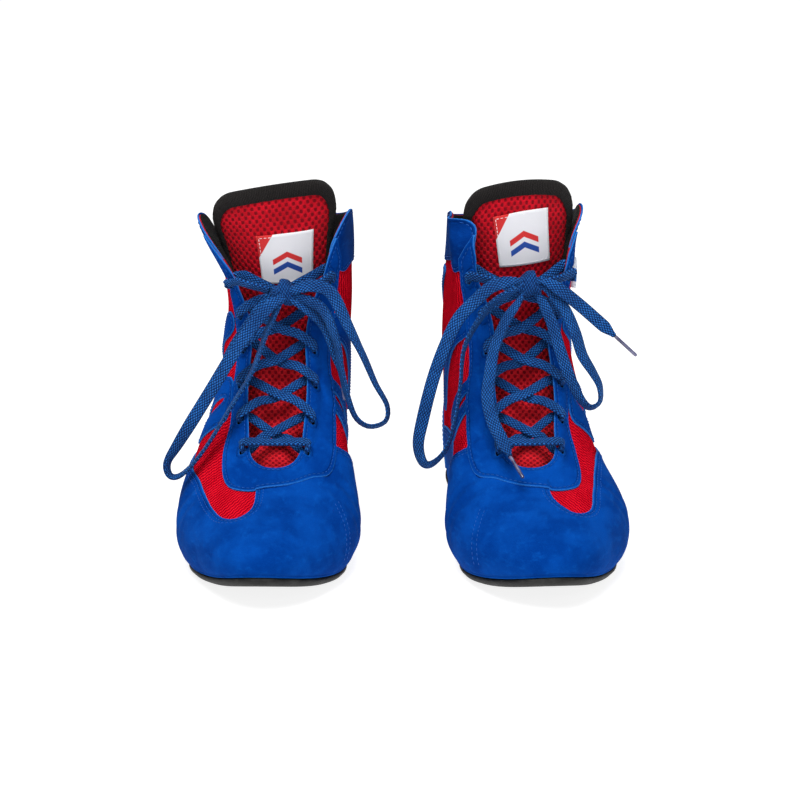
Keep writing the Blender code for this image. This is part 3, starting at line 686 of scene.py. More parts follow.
def suede(name, light, middle, dark, seam=2.2):
    """Napped suede: brushed patches, fine fibres, a paler worn edge and a line pressed in by the stitching, painted
    darker as shade in its groove.
    """
    look = Look(name, Roughness=0.92, Specular_IOR_Level=0.02, Sheen_Weight=0.04, Sheen_Roughness=0.4)
    look.shader.inputs["Sheen Tint"].default_value = (0.1, 0.45, 1.0, 1.0)
    where = look.place()
    stretched = look.node("Mapping", {"Vector": where, "Scale": (1.0, 0.55, 1.6), "Rotation": (0.4, 0.3, 0.5)})
    patches = look.noise(where, 42, 3, 0.6)
    strokes = look.noise(stretched.outputs[0], 170, 4, 0.65)
    fibres = look.noise(where, 1500, 3, 0.7)
    colour = look.mix(look.ramp(patches, 0.36, 0.66), dark, middle)
    colour = look.mix(look.ramp(strokes, 0.5, 0.8, 0.0, 0.55), colour, light)
    colour = look.mix(look.ramp(fibres, 0.5, 0.8, 0.0, 0.35), colour, light)
    colour = look.mix(look.ramp(fibres, 0.5, 0.25, 0.0, 0.45), colour, dark)
    edge = look.edge()
    ragged = look.maths("ADD", edge, look.maths("MULTIPLY", look.noise(where, 700, 2), 0.5))
    colour = look.mix(look.ramp(ragged, 1.0, 0.35, 0.0, 0.55), colour, (0.012, 0.17, 0.6))
    pressed = look.maths("ABSOLUTE", look.maths("SUBTRACT", edge, seam))
    groove = look.ramp(pressed, 0.15, 0.9, 0.0, 1.0)
    # painted shade: the suede is darkened along the pressed groove of the stitching
    colour = look.mix(look.ramp(pressed, 0.8, 0.1, 0.0, 0.35), colour, dark)
    normal = look.bump(groove, 0.0007, 0.8)
    normal = look.bump(strokes, 0.0012, 0.5, normal)
    normal = look.bump(fibres, 0.00035, 0.6, normal)
    return look.finish(colour, normal)


def cut_edge(name):
    look = Look(name, Roughness=0.95, Specular_IOR_Level=0.06, Sheen_Weight=0.05)
    fibres = look.noise(look.place(), 2600, 3, 0.7)
    colour = look.mix(look.ramp(fibres, 0.35, 0.7), (0.006, 0.1, 0.42), (0.035, 0.22, 0.66))
    return look.finish(colour, look.bump(fibres, 0.0003))


def air_mesh(name, light, dark, hole):
    """Spacer mesh of the tongue: staggered open cells whose holes are painted darker as shade, and painted light low
    down in the throat, where the light falls on it.
    """
    look = Look(name, Roughness=0.7, Specular_IOR_Level=0.1, Sheen_Weight=0.03)
    x, y, flat = look.cloth()
    drift = look.maths("SUBTRACT", look.noise(flat, 45, 1), 0.5)
    x = look.maths("ADD", x, look.maths("MULTIPLY", drift, 2.0))
    y = look.maths("ADD", y, look.maths("MULTIPLY", drift, 1.2))
    cells = look.maths(
        "MULTIPLY",
        look.maths("COSINE", look.maths("MULTIPLY", x, 2 * pi / 3.7)),
        look.maths("COSINE", look.maths("MULTIPLY", y, 2 * pi / 5.2)),
    )
    yarn = look.maths("SINE", look.maths("MULTIPLY", look.maths("ADD", x, look.maths("MULTIPLY", y, 0.6)), 2 * pi / 0.5))
    patches = look.noise(flat, 90, 2)
    colour = look.mix(look.ramp(patches, 0.3, 0.7), dark, light)
    # painted light: below about 165 mm up the cloth, in the throat, the mesh and its holes are painted lighter where
    # the top light falls
    throat = look.ramp(y, 165.0, 120.0)
    colour = look.mix(throat, colour, (0.9, 0.016, 0.03))
    hole = look.mix(throat, hole, (0.36, 0.001, 0.01))
    colour = look.mix(look.ramp(yarn, 0.2, 1.0, 0.0, 0.2), colour, dark)
    # painted shade: the sunken holes take the darker hole colour
    colour = look.mix(look.ramp(cells, 0.02, 0.5), colour, hole)
    height = look.maths("SUBTRACT", look.maths("MULTIPLY", yarn, 0.08), look.ramp(cells, -0.5, 0.55))
    return look.finish(colour, look.bump(height, 0.0008, 0.85))


def ridged_mesh(name, light, dark, gap):
    """Spacer mesh of the sides: wavy ropes of loops that climb the boot, with the gaps between them painted darker as
    shade and the ropes' crests painted lighter as highlight.
    """
    look = Look(name, Roughness=0.85, Specular_IOR_Level=0.0)
    x, y, flat = look.cloth()
    drift = look.maths("SUBTRACT", look.noise(flat, 34, 2), 0.5)
    across = look.maths("ADD", look.maths("MULTIPLY", x, 0.9), look.maths("MULTIPLY", y, 0.42))
    along = look.maths("SUBTRACT", look.maths("MULTIPLY", y, 0.9), look.maths("MULTIPLY", x, 0.42))
    sway = look.maths("MULTIPLY", look.maths("SINE", look.maths("MULTIPLY", along, 2 * pi / 4.6)), 0.3)
    across = look.maths("ADD", look.maths("ADD", across, sway), look.maths("MULTIPLY", drift, 5.0))
    ridge = look.maths("COSINE", look.maths("MULTIPLY", across, 2 * pi / 2.5))
    slanted = look.maths("ADD", along, look.maths("MULTIPLY", look.maths("ABSOLUTE", ridge), 0.5))
    loops = look.maths("COSINE", look.maths("MULTIPLY", slanted, 2 * pi / 1.3))
    height = look.maths("ADD", ridge, look.maths("MULTIPLY", loops, 0.35))
    patches = look.noise(flat, 60, 2)
    colour = look.mix(look.ramp(patches, 0.3, 0.7), dark, light)
    # painted shade: the low gaps between the ropes are darkened
    colour = look.mix(look.ramp(height, -0.2, -1.1), colour, gap)
    # painted highlight: the raised crests of the ropes are lightened
    colour = look.mix(look.ramp(height, 0.6, 1.35, 0.0, 0.5), colour, (0.95, 0.035, 0.05))
    return look.finish(colour, look.bump(height, 0.0006, 0.8))


def knit(name, light, dark, pitch):
    """Close black knit or webbing, in fine ribs across the cloth, painted lighter on the rib crests as highlight and
    darker between them as shade, with real lint on top.
    """
    look = Look(name, Roughness=0.75, Specular_IOR_Level=0.14, Sheen_Weight=0.03, Sheen_Roughness=0.5)
    x, y, flat = look.cloth()
    rib = look.maths("SINE", look.maths("MULTIPLY", y, 2 * pi / pitch))
    wale = look.maths("SINE", look.maths("MULTIPLY", look.maths("ADD", x, look.maths("MULTIPLY", y, 0.5)), 2 * pi / 0.9))
    weave = look.maths("ADD", look.maths("MULTIPLY", rib, 0.7), look.maths("MULTIPLY", look.maths("MULTIPLY", rib, wale), 0.5))
    lint = look.noise(flat, 900, 2)
    # partly lint, partly painted highlight on the rib crests and painted shade between them
    share = look.maths("ADD", look.ramp(weave, -0.8, 1.1), look.maths("MULTIPLY", look.maths("SUBTRACT", lint, 0.5), 0.6), clamp=True)
    return look.finish(look.mix(share, dark, light), look.bump(weave, 0.0004, 0.8))


def braid(name, light, dark):
    """Flat braided lace: yarns that cross in small slanting diamonds, painted lighter on top as highlight and darker
    between as shade.
    """
    look = Look(name, Roughness=0.65, Specular_IOR_Level=0.12, Sheen_Weight=0.05, Sheen_Roughness=0.4)
    look.shader.inputs["Sheen Tint"].default_value = (0.2, 0.5, 1.0, 1.0)
    x, y, flat = look.cloth()
    wide, long = look.maths("MULTIPLY", x, pi / 1.7), look.maths("MULTIPLY", y, pi / 2.6)
    one = look.maths("ABSOLUTE", look.maths("SINE", look.maths("ADD", wide, long)))
    other = look.maths("ABSOLUTE", look.maths("SINE", look.maths("SUBTRACT", wide, long)))
    cell = look.maths("MULTIPLY", one, other)
    lint = look.noise(flat, 420, 3)
    fleck = look.noise(flat, 60, 2)
    # painted highlight and shade: the raised diamonds are lighter, the low lines between them darker
    colour = look.mix(look.ramp(cell, 0.08, 0.66), dark, light)
    colour = look.mix(look.ramp(lint, 0.5, 0.8, 0.0, 0.35), colour, (0.05, 0.22, 0.64))
    colour = look.mix(look.ramp(fleck, 0.35, 0.65, 0.35, 0.0), colour, dark)
    return look.finish(colour, look.bump(cell, 0.001, 1.0))


def thread(name, colour):
    look = Look(name, Roughness=0.6, Specular_IOR_Level=0.2)
    twist = look.noise(look.place(), 3000, 2)
    pale = tuple(min(1.0, 1.4 * c + 0.01) for c in colour)
    return look.finish(look.mix(look.ramp(twist, 0.35, 0.7), colour, pale), look.bump(twist, 0.0002))


def rubber(name):
    """Dark rubber with a fine pebble and dust caught in it."""
    look = Look(name, Roughness=0.7, Specular_IOR_Level=0.2)
    where = look.place()
    pebble = look.node("TexVoronoi", {"Vector": where, "Scale": 900.0}).outputs[0]
    dust = look.noise(where, 60, 5, 0.65)
    colour = look.mix(look.ramp(dust, 0.42, 0.72), (0.008, 0.008, 0.008), (0.042, 0.042, 0.04))
    rough = look.ramp(dust, 0.3, 0.8, 0.5, 0.85)
    return look.finish(colour, look.bump(pebble, 0.0003, 0.5), rough)


def board(name, light, dark, scale):
    look = Look(name, Roughness=0.9, Specular_IOR_Level=0.2)
    fibres = look.noise(look.place(), scale, 4, 0.7)
    return look.finish(look.mix(look.ramp(fibres, 0.3, 0.7), dark, light), look.bump(fibres, 0.0004))


def label_cloth(name):
    """White woven label: a red corner and two plain chevrons; its stitched border is made apart, in label(). Its cloth
    runs 0 to 1 both ways.
    """
    look = Look(name, Roughness=0.6, Specular_IOR_Level=0.2, Sheen_Weight=0.05)
    x, y, flat = look.cloth()
    white, red, blue = (0.88, 0.88, 0.92), (0.7, 0.03, 0.03), (0.015, 0.07, 0.38)
    weave = look.maths(
        "MULTIPLY",
        look.maths("SINE", look.maths("MULTIPLY", x, 2 * pi * 60)),
        look.maths("SINE", look.maths("MULTIPLY", y, 2 * pi * 66)),
    )
    colour = look.mix(look.ramp(weave, -1.0, 1.0, 0.0, 0.25), white, (0.7, 0.7, 0.76))
    spread = look.maths("ABSOLUTE", look.maths("SUBTRACT", x, 0.52))
    inside = look.maths("LESS_THAN", spread, 0.27)
    for middle, shade in ((0.60, red), (0.40, blue)):
        off = look.maths("SUBTRACT", look.maths("ADD", y, look.maths("MULTIPLY", spread, 0.55)), middle)
        band = look.maths("MULTIPLY", look.ramp(look.maths("ABSOLUTE", off), 0.062, 0.05), inside)
        colour = look.mix(band, colour, shade)
    corner = look.maths("ADD", look.maths("MULTIPLY", x, 1.55), look.maths("SUBTRACT", 1.0, y))
    colour = look.mix(look.ramp(corner, 0.46, 0.44), colour, red)
    return look.finish(colour, look.bump(weave, 0.0002, 0.6))


def plastic(name):
    look = Look(name, Roughness=0.25, Specular_IOR_Level=0.6, Coat_Weight=0.6, Coat_Roughness=0.15)
    smear = look.noise(look.place(), 160, 2)
    colour = look.mix(look.ramp(smear, 0.35, 0.7), (0.03, 0.03, 0.09), (0.15, 0.15, 0.26))
    return look.finish(colour, look.bump(smear, 0.0002, 0.4))


SUEDE = suede("suede_blue", (0.003, 0.092, 0.45), (0.001, 0.058, 0.335), (0.0, 0.034, 0.23))
# painted shade: the collar is the same suede painted darker, where less light falls on its upright sides
SHADED_COLLAR_SUEDE = suede("suede_collar", (0.002, 0.07, 0.36), (0.001, 0.04, 0.25), (0.0, 0.022, 0.16))
CUT_EDGE = cut_edge("suede_cut_edge")
# the last colour is the painted shade of the gaps between the ropes
QUARTER_MESH = ridged_mesh("mesh_quarter", (0.86, 0.005, 0.022), (0.68, 0.002, 0.014), (0.24, 0.0, 0.01))
# the last colour is the painted shade of the mesh's holes
TONGUE_MESH = air_mesh("mesh_tongue", (0.63, 0.003, 0.016), (0.47, 0.0015, 0.01), (0.2, 0.0, 0.006))
LINING = knit("knit_lining", (0.011, 0.0095, 0.0095), (0.0025, 0.002, 0.0025), 1.1)
BINDING = knit("knit_binding", (0.02, 0.0165, 0.016), (0.003, 0.0025, 0.0025), 1.0)
LACE = braid("braid_blue", (0.02, 0.165, 0.57), (0.001, 0.012, 0.08))
# painted shade: the knot's lace is the same braid painted darker, as shade between the loops
KNOT_LACE_PAINTED_SHADE = braid("braid_blue_knot_shade", (0.013, 0.115, 0.42), (0.001, 0.014, 0.09))
THREAD = thread("thread_blue", (0.002, 0.062, 0.31))
WHITE_THREAD = thread("thread_white", (0.75, 0.75, 0.8))
RED_EDGE = board("red_edge", (0.5, 0.01, 0.02), (0.28, 0.0, 0.01), 900)
RUBBER = rubber("rubber_black")
BOARD = board("fibre_board", (0.42, 0.34, 0.25), (0.26, 0.2, 0.14), 600)
FELT = board("stiffener_felt", (0.6, 0.57, 0.52), (0.4, 0.37, 0.33), 900)
LABEL = label_cloth("label_white")
TAG = board("tag_white", (0.85, 0.87, 0.92), (0.7, 0.74, 0.84), 1200)
TAG_BAND = board("tag_blue", (0.02, 0.2, 0.7), (0.01, 0.13, 0.5), 1200)
AGLET = plastic("aglet_film")

# ---------------------------------------------------------------- free laces

KNOT_LIFT = np.array([0.0, -2.0, 0.5])   # the visible knot's heart, from the CAD knot's
INTO_KNOT = 0.35
FACE = np.array([0.0, -0.95, 0.3])      # the way the broad side of a hanging lace looks
LOOP_TURNS = {
    ("right", "lace_loop_lateral"): ((0, 10), (0.35, 0), (0.47, 60), (0.6, 85), (1, 60)),
    ("right", "lace_loop_medial"): ((0, 0), (0.15, 10), (0.3, 60), (0.5, 80), (0.8, 55), (1, 20)),
    ("left", "lace_loop_lateral"): ((0, 40), (0.3, 30), (0.5, 75), (0.7, 25), (1, 10)),
    ("left", "lace_loop_medial"): ((0, 0), (0.4, 5), (0.55, 70), (0.7, 85), (1, 50)),
    ("right", "lace_end_lateral"): ((0, 0), (1, 20)),
    ("right", "lace_end_medial"): ((0, 10), (1, 40)),
    ("left", "lace_end_lateral"): ((0, 0), (0.5, 8), (1, 20)),
    ("left", "lace_end_medial"): ((0, 55), (0.35, 40), (0.7, 10), (1, 0)),
}


def free_lace(boot, name):
    """A loop or a free end, as a cord of its real length. Its ends at the knot run on into it."""
    route = [np.array(p, float) for p in ROUTES[boot][name]]
    heart = np.array(KNOT[boot], float) + KNOT_LIFT
    route.insert(0, heart + (route[0] - heart) * INTO_KNOT)
    if "loop" in name:
        route.append(heart + (route[-1] - heart) * INTO_KNOT)
    route, _ = smooth_route(route)
    (path,) = even(route, 0.8)
    share = np.linspace(0, 1, len(path))
    ahead = unit(np.gradient(path, axis=0))
    wide = unit(np.cross(ahead, FACE))
    turn = np.radians(np.interp(share, *zip(*LOOP_TURNS[boot, name])))[:, None]
    wide = wide * np.cos(turn) + np.cross(ahead, wide) * np.sin(turn)
    length = 0.8 * (len(path) - 1)
    from_start, from_end = share * length, (1 - share) * length
    gather = smoothstep(from_start, 2, 18)
    is_end = "end" in name
    gather = gather * (smoothstep(from_end, -1, 9) if is_end else smoothstep(from_end, 2, 18))
    low = 0.35 if is_end else 0.55
    width = LACE_WIDTH * (low + (1 - low) * gather)
    thick = LACE_THICK * (1.35 - 0.35 * gather)
    made = piece(boot, name, ribbon(path, wide, width, thick), [LACE], [name])
    with_pieces = [aglet(boot, name.replace("lace_end", "aglet"))] if is_end else []


def aglet(boot, name):
    """A tip of clear film, rolled flat round the end of the lace."""
    start, end = (np.array(p, float) for p in ROUTES[boot][name])
    long = np.linalg.norm(end - start)
    ahead = (end - start) / long
    wide = unit(np.cross(ahead, FACE))
    up = np.cross(ahead, wide)
    stations = ((-1.9, 0.9), (-1.2, 1.2), (-0.2, 1.3), (0.4, 1.35), (0.9, 1.3), (1.4, 1.36), (2.2, 1.3))
    stations += tuple((k, 1.3) for k in np.linspace(3, long - 1, 8)) + ((long - 0.4, 1.2), (long, 0.8))
    points = []
    for place, girth in stations:
        for k in range(16):
            q = k * 2 * pi / 16
            points.append(start + ahead * place + girth * 0.78 * (wide * cos(q) + 0.75 * up * sin(q)))
    return piece(boot, name, Shape(points, tube_faces(len(stations), 16)), [AGLET], [name])


for boot in SIDE:
    for name in ROUTES[boot]:
        if "lace" in name:
            free_lace(boot, name)

# ---------------------------------------------------------------- crossed laces and knot


def eyelet(row, side):
    s = EYELETS[row] * side
    out = skin_normal(s, EYELET_T)
    inward = skin(s, EYELET_T + 5e-3) - skin(s, EYELET_T - 5e-3)
    along = unit(skin(s + 1e-3, EYELET_T) - skin(s - 1e-3, EYELET_T))
    return skin(s, EYELET_T) + out * EYELET_MID, out, unit(inward - out * np.dot(inward, out)), along


BOW = 2.6       # how far a crossing strand bows up the throat, in millimetres


def strand(boot, side):
    """Key points of one strand and the way its broad side lies at each, from the bottom bar to the knot."""
    over, under = 4.3, -4.2
    keys = []
    for row in range(len(EYELETS)):
        hole, out, throat, along = eyelet(row, side)
        if row == 0:
            run = (over, 3.2), (over - 1, 0.2), (0.2, 0), (-3.6, 0.4), (under, 4.5)
        else:
            run = (under, 5.0), (-3.8, 1.0), (0, 0), (over - 1, 0.2), (over, 3.4)
        keys += [(hole + out * high + throat * far, along, abs(high) < 4) for high, far in run]
        if row < len(EYELETS) - 1:
            four = [eyelet(r, k) for r in (row, row + 1) for k in (-1, 1)]
            middle = sum(e[0] for e in four) / 4
            upward = unit(sum(e[1] for e in four))
            height = -2.3 if row == 0 else 2.6
            crossing = 2.2 if (side > 0) == (row % 2 == 0) else -2.2
            travel = unit(eyelet(row + 1, -side)[0] - hole)
            climb = unit(eyelet(row + 1, side)[0] - hole + eyelet(row + 1, -side)[0] - eyelet(row, -side)[0])
            start = keys[-1][0]
            cross = middle + upward * (height + crossing) + climb * BOW
            flat = np.cross(upward, travel)
            keys.append((start * 0.55 + cross * 0.45 + climb * BOW * 0.75 + upward * 0.8, flat, False))
            keys.append((cross, flat, False))
        side = -side
    last = keys[-1][0]
    tip = np.array(KNOT[boot]) + (np.sign(last[0]) * 9.8, -1.5, 1.5)
    across = np.array([0.0, -0.5, 0.85])
    return keys + [((last + tip) / 2 + (0, -1.5, 0), across, False), (tip, across, False)]


def crossed_lace(boot):
    ends = [eyelet(0, side) for side in (-1, 1)]
    bar = (ends[0][0] + ends[1][0]) / 2 + unit(ends[0][1] + ends[1][1]) * 7.2
    keys = strand(boot, -1)[::-1] + [(bar, np.array([0.0, 1.0, 0.3]), False)] + strand(boot, 1)
    wide = [keys[0][1]]
    for _, way, _ in keys[1:]:
        wide.append(way if np.dot(way, wide[-1]) > 0 else -way)
    route, index = smooth_route([key[0] for key in keys], 14)
    wides = np.stack([np.interp(index, range(len(keys)), [w[k] for w in wide]) for k in range(3)], -1)
    squeeze = np.interp(index, range(len(keys)), [float(key[2]) for key in keys])
    path, wides, squeeze = even(route, 0.8, wides, squeeze)
    squeeze = squeeze[:, 0]
    shape = ribbon(path, wides, CROSSED_WIDTH * (1 - 0.22 * squeeze), CROSSED_THICK * (1 + 0.1 * squeeze))
    piece(boot, "lace_crossed", shape, [LACE], ["lace_crossed"], settle=True)


def knot(boot):
    """The turn of lace that holds the bow, drawn tight over the strands that run through it."""
    centre = np.array(KNOT[boot], float) + KNOT_LIFT
    turn = np.arange(48) * 2 * pi / 48
    shapes = []
    for girth, shift, slope, width in ((1.0, -0.4, 0.16, 7.6), (0.86, 3.4, -0.3, 5.2), (0.8, -4.0, 0.45, 4.6)):
        y, z = 6.2 * girth * np.cos(turn), 6.6 * girth * np.sin(turn)
        path = centre + np.stack([shift + slope * z, y, z], -1)
        wide = np.broadcast_to(np.array([1.0, 0.0, slope]), path.shape)
        pinch = width * (1 - 0.2 * np.sin(turn) ** 2)
        shapes.append(ribbon(path, wide, pinch, LACE_THICK * 1.15, closed=True))
    core = [
        centre + (x, 5.0 * girth * cos(q), 5.2 * girth * sin(q))
        for x, girth in ((-9.0, 0.2), (-7.4, 0.6), (-3, 0.95), (3, 0.95), (7.4, 0.6), (9.0, 0.2))
        for q in np.arange(LACE_SIDES) * 2 * pi / LACE_SIDES
    ]
    uv = [(k % LACE_SIDES, k // LACE_SIDES * 3.0) for k in range(len(core))]
    shapes.append(Shape(core, tube_faces(6, LACE_SIDES), uv))
    # the knot takes the darker copy of the lace, which is painted shade
    piece(boot, "lace_knot", joined(shapes), [KNOT_LACE_PAINTED_SHADE], ["lace_knot"])


for boot in SIDE:
    crossed_lace(boot)
    knot(boot)

# ---------------------------------------------------------------- upper


def line(*keys):
    places, heights = zip(*keys)
    return lambda s: np.interp(s, places, heights)


VAMP_MEDIAL = (
    (-0.36, 0.22), (-0.30, 0.27), (-0.24, 0.33), (-0.20, 0.42), (-0.170, 0.60), (-0.152, 0.74), (-0.13, 0.885),
    (-0.05, 0.90), (0.022, 0.90),
)
VAMP_LATERAL = {
    "right": (
        (0.034, 0.865), (0.0285, 0.80), (0.023, 0.71), (0.0235, 0.63), (0.031, 0.562), (0.040, 0.53), (0.053, 0.523),
        (0.070, 0.553), (0.098, 0.602), (0.128, 0.61), (0.157, 0.55), (0.185, 0.49), (0.24, 0.36), (0.30, 0.27),
        (0.36, 0.22),
    ),
    "left": (
        (0.028, 0.865), (0.0235, 0.785), (0.0245, 0.72), (0.0295, 0.652), (0.037, 0.59), (0.048, 0.56), (0.061, 0.561),
        (0.071, 0.59), (0.088, 0.65), (0.120, 0.668), (0.149, 0.632), (0.168, 0.59), (0.19, 0.51), (0.24, 0.36),
        (0.30, 0.27), (0.36, 0.22),
    ),
}
EYESTAY_EDGE = (
    (-0.302, 0.90), (-0.28, 0.86), (-0.25, 0.81), (-0.19, 0.75), (-0.13, 0.715), (-0.108, 0.725), (-0.095, 0.76),
    (-0.078, 0.81), (-0.05, 0.84), (-0.02, 0.85), (0.01, 0.84), (0.033, 0.80), (0.051, 0.771), (0.068, 0.748),
    (0.080, 0.747), (0.093, 0.759), (0.107, 0.776), (0.12, 0.793), (0.136, 0.818), (0.150, 0.855), (0.165, 0.878),
    (0.19, 0.875), (0.25, 0.875), (0.285, 0.88), (0.302, 0.90),
)
SOLE_LINE, TOP = 0.008, 0.999

sole_line = [(s, SOLE_LINE) for s in np.linspace(0.36, -0.36, 25)]
vamps = {boot: Panel(np.array([*through(VAMP_MEDIAL + VAMP_LATERAL[boot]), *sole_line])) for boot in SIDE}


def stripe(front, back, slit=None):
    """A slanted band between two edges, each from its lower (s, t) to its upper one."""
    (f0, f1), (b0, b1) = np.array(front, float), np.array(back, float)
    outlines = [rounded([f0, (f0 + f1) / 2, f1, b1, (b0 + b1) / 2, b0], 2)]
    if slit:
        low, high = slit

        def at(u, v):
            return (f0 + (f1 - f0) * v) * (1 - u) + (b0 + (b1 - b0) * v) * u

        outlines.append(rounded([at(0.42, low), at(0.40, (low + high) / 2), at(0.46, high), at(0.60, high), at(0.62, low)], 2))
    return outlines


def swapped(edges):
    return [[(1 - s, t) for s, t in edge] for edge in edges]


FRONT = {
    "lateral": [((0.196, 0.490), (0.160, 0.875)), ((0.268, 0.345), (0.214, 0.885))],
    "medial": swapped([((0.205, 0.475), (0.186, 0.885)), ((0.268, 0.345), (0.214, 0.885))]),
}
REAR = {
    "lateral": [((0.322, 0.30), (0.250, 0.86)), ((0.348, 0.30), (0.270, 0.86))],
    "medial": swapped([((0.322, 0.30), (0.250, 0.86)), ((0.348, 0.30), (0.270, 0.86))]),
}
front_stripes = {side: Panel(*stripe(*FRONT[side], slit=(0.12, 0.84))) for side in FRONT}
rear_stripes = {side: Panel(*stripe(*REAR[side])) for side in REAR}

COLLAR_EDGE = (
    (0.285, 0.96), (0.291, 0.92), (0.299, 0.85), (0.315, 0.815), (0.35, 0.805), (0.43, 0.825), (0.4975, 0.85),
)
collar_outline = [*COLLAR_EDGE, (0.4975, TOP), *[(s, TOP) for s in np.linspace(0.47, 0.315, 9)], (0.300, TOP), (0.289, TOP)]
collars = {
    "lateral": Panel(rounded(collar_outline, 2)),
    "medial": Panel(rounded([(1 - s, t) for s, t in collar_outline], 2)),
}

half = line((0.0, 0.128), (0.18, 0.112), (0.35, 0.070), (0.6, 0.082), (0.78, 0.113), (0.80, 0.10), (0.836, 0.028), (1.0, 0.022))
heights = np.concatenate([np.linspace(SOLE_LINE, 0.78, 12), [0.80, 0.818, 0.836, 0.9, 0.96, TOP]])
backstay = Panel(rounded([*[(0.5 - half(t), t) for t in heights], *[(0.5 + half(t), t) for t in heights[::-1]]], 2))

holes = [ring(side * s, EYELET_T, EYELET_R) for s in EYELETS for side in (-1, 1)]
throat_line = [(s, TOP) for s in np.linspace(0.302, -0.302, 41)]
eyestay_outline = np.array([*through(EYESTAY_EDGE), *throat_line])
eyestay = Panel(eyestay_outline, *holes, cell=1.2)

QUARTER_TOP = 0.895
quarters = {
    "lateral": Panel(np.array([(0.01, 0.02), (0.4975, 0.02), (0.4975, QUARTER_TOP), (0.01, QUARTER_TOP)]), cell=2.6),
    "medial": Panel(np.array([(0.5025, 0.02), (0.99, 0.02), (0.99, QUARTER_TOP), (0.5025, QUARTER_TOP)]), cell=2.6),
}
lining = Panel(np.array([(-0.4992, 0.03), (0.4992, 0.03), (0.4992, TOP), (-0.4992, TOP)]), *holes, cell=2.4)

THICK = 1.15        # suede
MESH_FACE = -0.2
shared_layers = [*front_stripes.values(), *rear_stripes.values(), *collars.values()]


def shifted(panel, s):
    """s moved by whole turns to where the panel is."""
    middle = (panel.s.min() + panel.s.max()) / 2
    return s - np.round(s - middle)


def layer_under(s, t, layers):
    """Depth of the face that an overlay lies on."""
    found = np.full(len(s), MESH_FACE)
    for panel in layers:
        moved = shifted(panel, s)
        reach = (moved > panel.s.min() - 0.01) & (moved < panel.s.max() + 0.01)
        reach &= (t > panel.t.min() - 0.03) & (t < panel.t.max() + 0.03)
        if reach.any():
            far, _ = panel.distance(moved[reach], t[reach])
            found[reach] = np.maximum(found[reach], MESH_FACE + THICK * smoothstep(far, -1.2, 0.6))
    return found


def suede_outer(s, t, far):
    return np.full(len(s), MESH_FACE + THICK) + 0.25 * smoothstep(far, 0.5, 5)


def suede_inner(s, t, far):
    return np.full(len(s), MESH_FACE + 0.05)


def at_throat(s, t):
    """1 in the lacing flaps, 0 elsewhere."""
    round_s = np.abs(s - np.round(s))
    return smoothstep(t, 0.87, 0.95) * smoothstep(round_s, 0.305, 0.27)


EYESTAY_LIFT = 3.3


def lining_outer(s, t, far):
    top = 0.85 + (EYESTAY_LIFT - THICK - 0.95) * at_throat(s, t)
    return -4.9 + (top + 4.9) * smoothstep(t, 0.90, 0.945)


def lining_inner(s, t, far):
    top = -0.9 + (EYESTAY_LIFT - THICK - 0.75) * at_throat(s, t)
    return -5.9 + (top + 5.9) * smoothstep(t, 0.84, 0.955)


def creases(points, s, t):
    """Soft flexing of the toe and shallow dents left by wear."""
    rise = 0.55 * crumple(points, 46, 3) + 0.22 * crumple(points, 17, 5)
    across = np.exp(-(((points[:, 1] + 62) / 13) ** 2)) * 0.5 * np.sin(points[:, 1] * 2 * pi / 11)
    return rise + across * smoothstep(np.abs(points[:, 0]), 8, 26)


def soft_wave(points, s, t):
    return 0.3 * crumple(points, 30, 11)


def mesh_wave(points, s, t):
    return 0.35 * crumple(points, 34, 23)


def quarter_depth(depth):
    return lambda s, t, far: np.full(len(s), depth)


# ---------------------------------------------------------------- stitching


def clear_of(*panels):
    """Whether places are free of the panels that lie over them."""

    def keep(s, t):
        found = (t > 0.1) & (t < 0.985)
        for panel in panels:
            moved = shifted(panel, s)
            far, _ = panel.distance(moved, t)
            found &= (far < -0.6) | (moved < panel.s.min()) | (moved > panel.s.max())
        return found

    return keep


def swelled(wave, base, s, t, far):
    """How far the cloth stands out from its layer's face. It stays flat where it is sewn down."""
    return wave(base, s, t) * smoothstep(far, 0.5, 6)


def on_top(outer, wave=None, far=2.2, lift=0.08):
    """The depth of a stitch that lies this far from the cut edge."""

    def depth(s, t):
        face = outer(s, t, np.full(len(s), far)) + lift
        return face if wave is None else face + swelled(wave, skin(s, t), s, t, far)

    return depth


SEAM = {"right": -0.097, "left": -0.079}    # the upright seam on the inner side of the toe, as its s
lacing_flaps = Panel(eyestay_outline, cell=1.2)


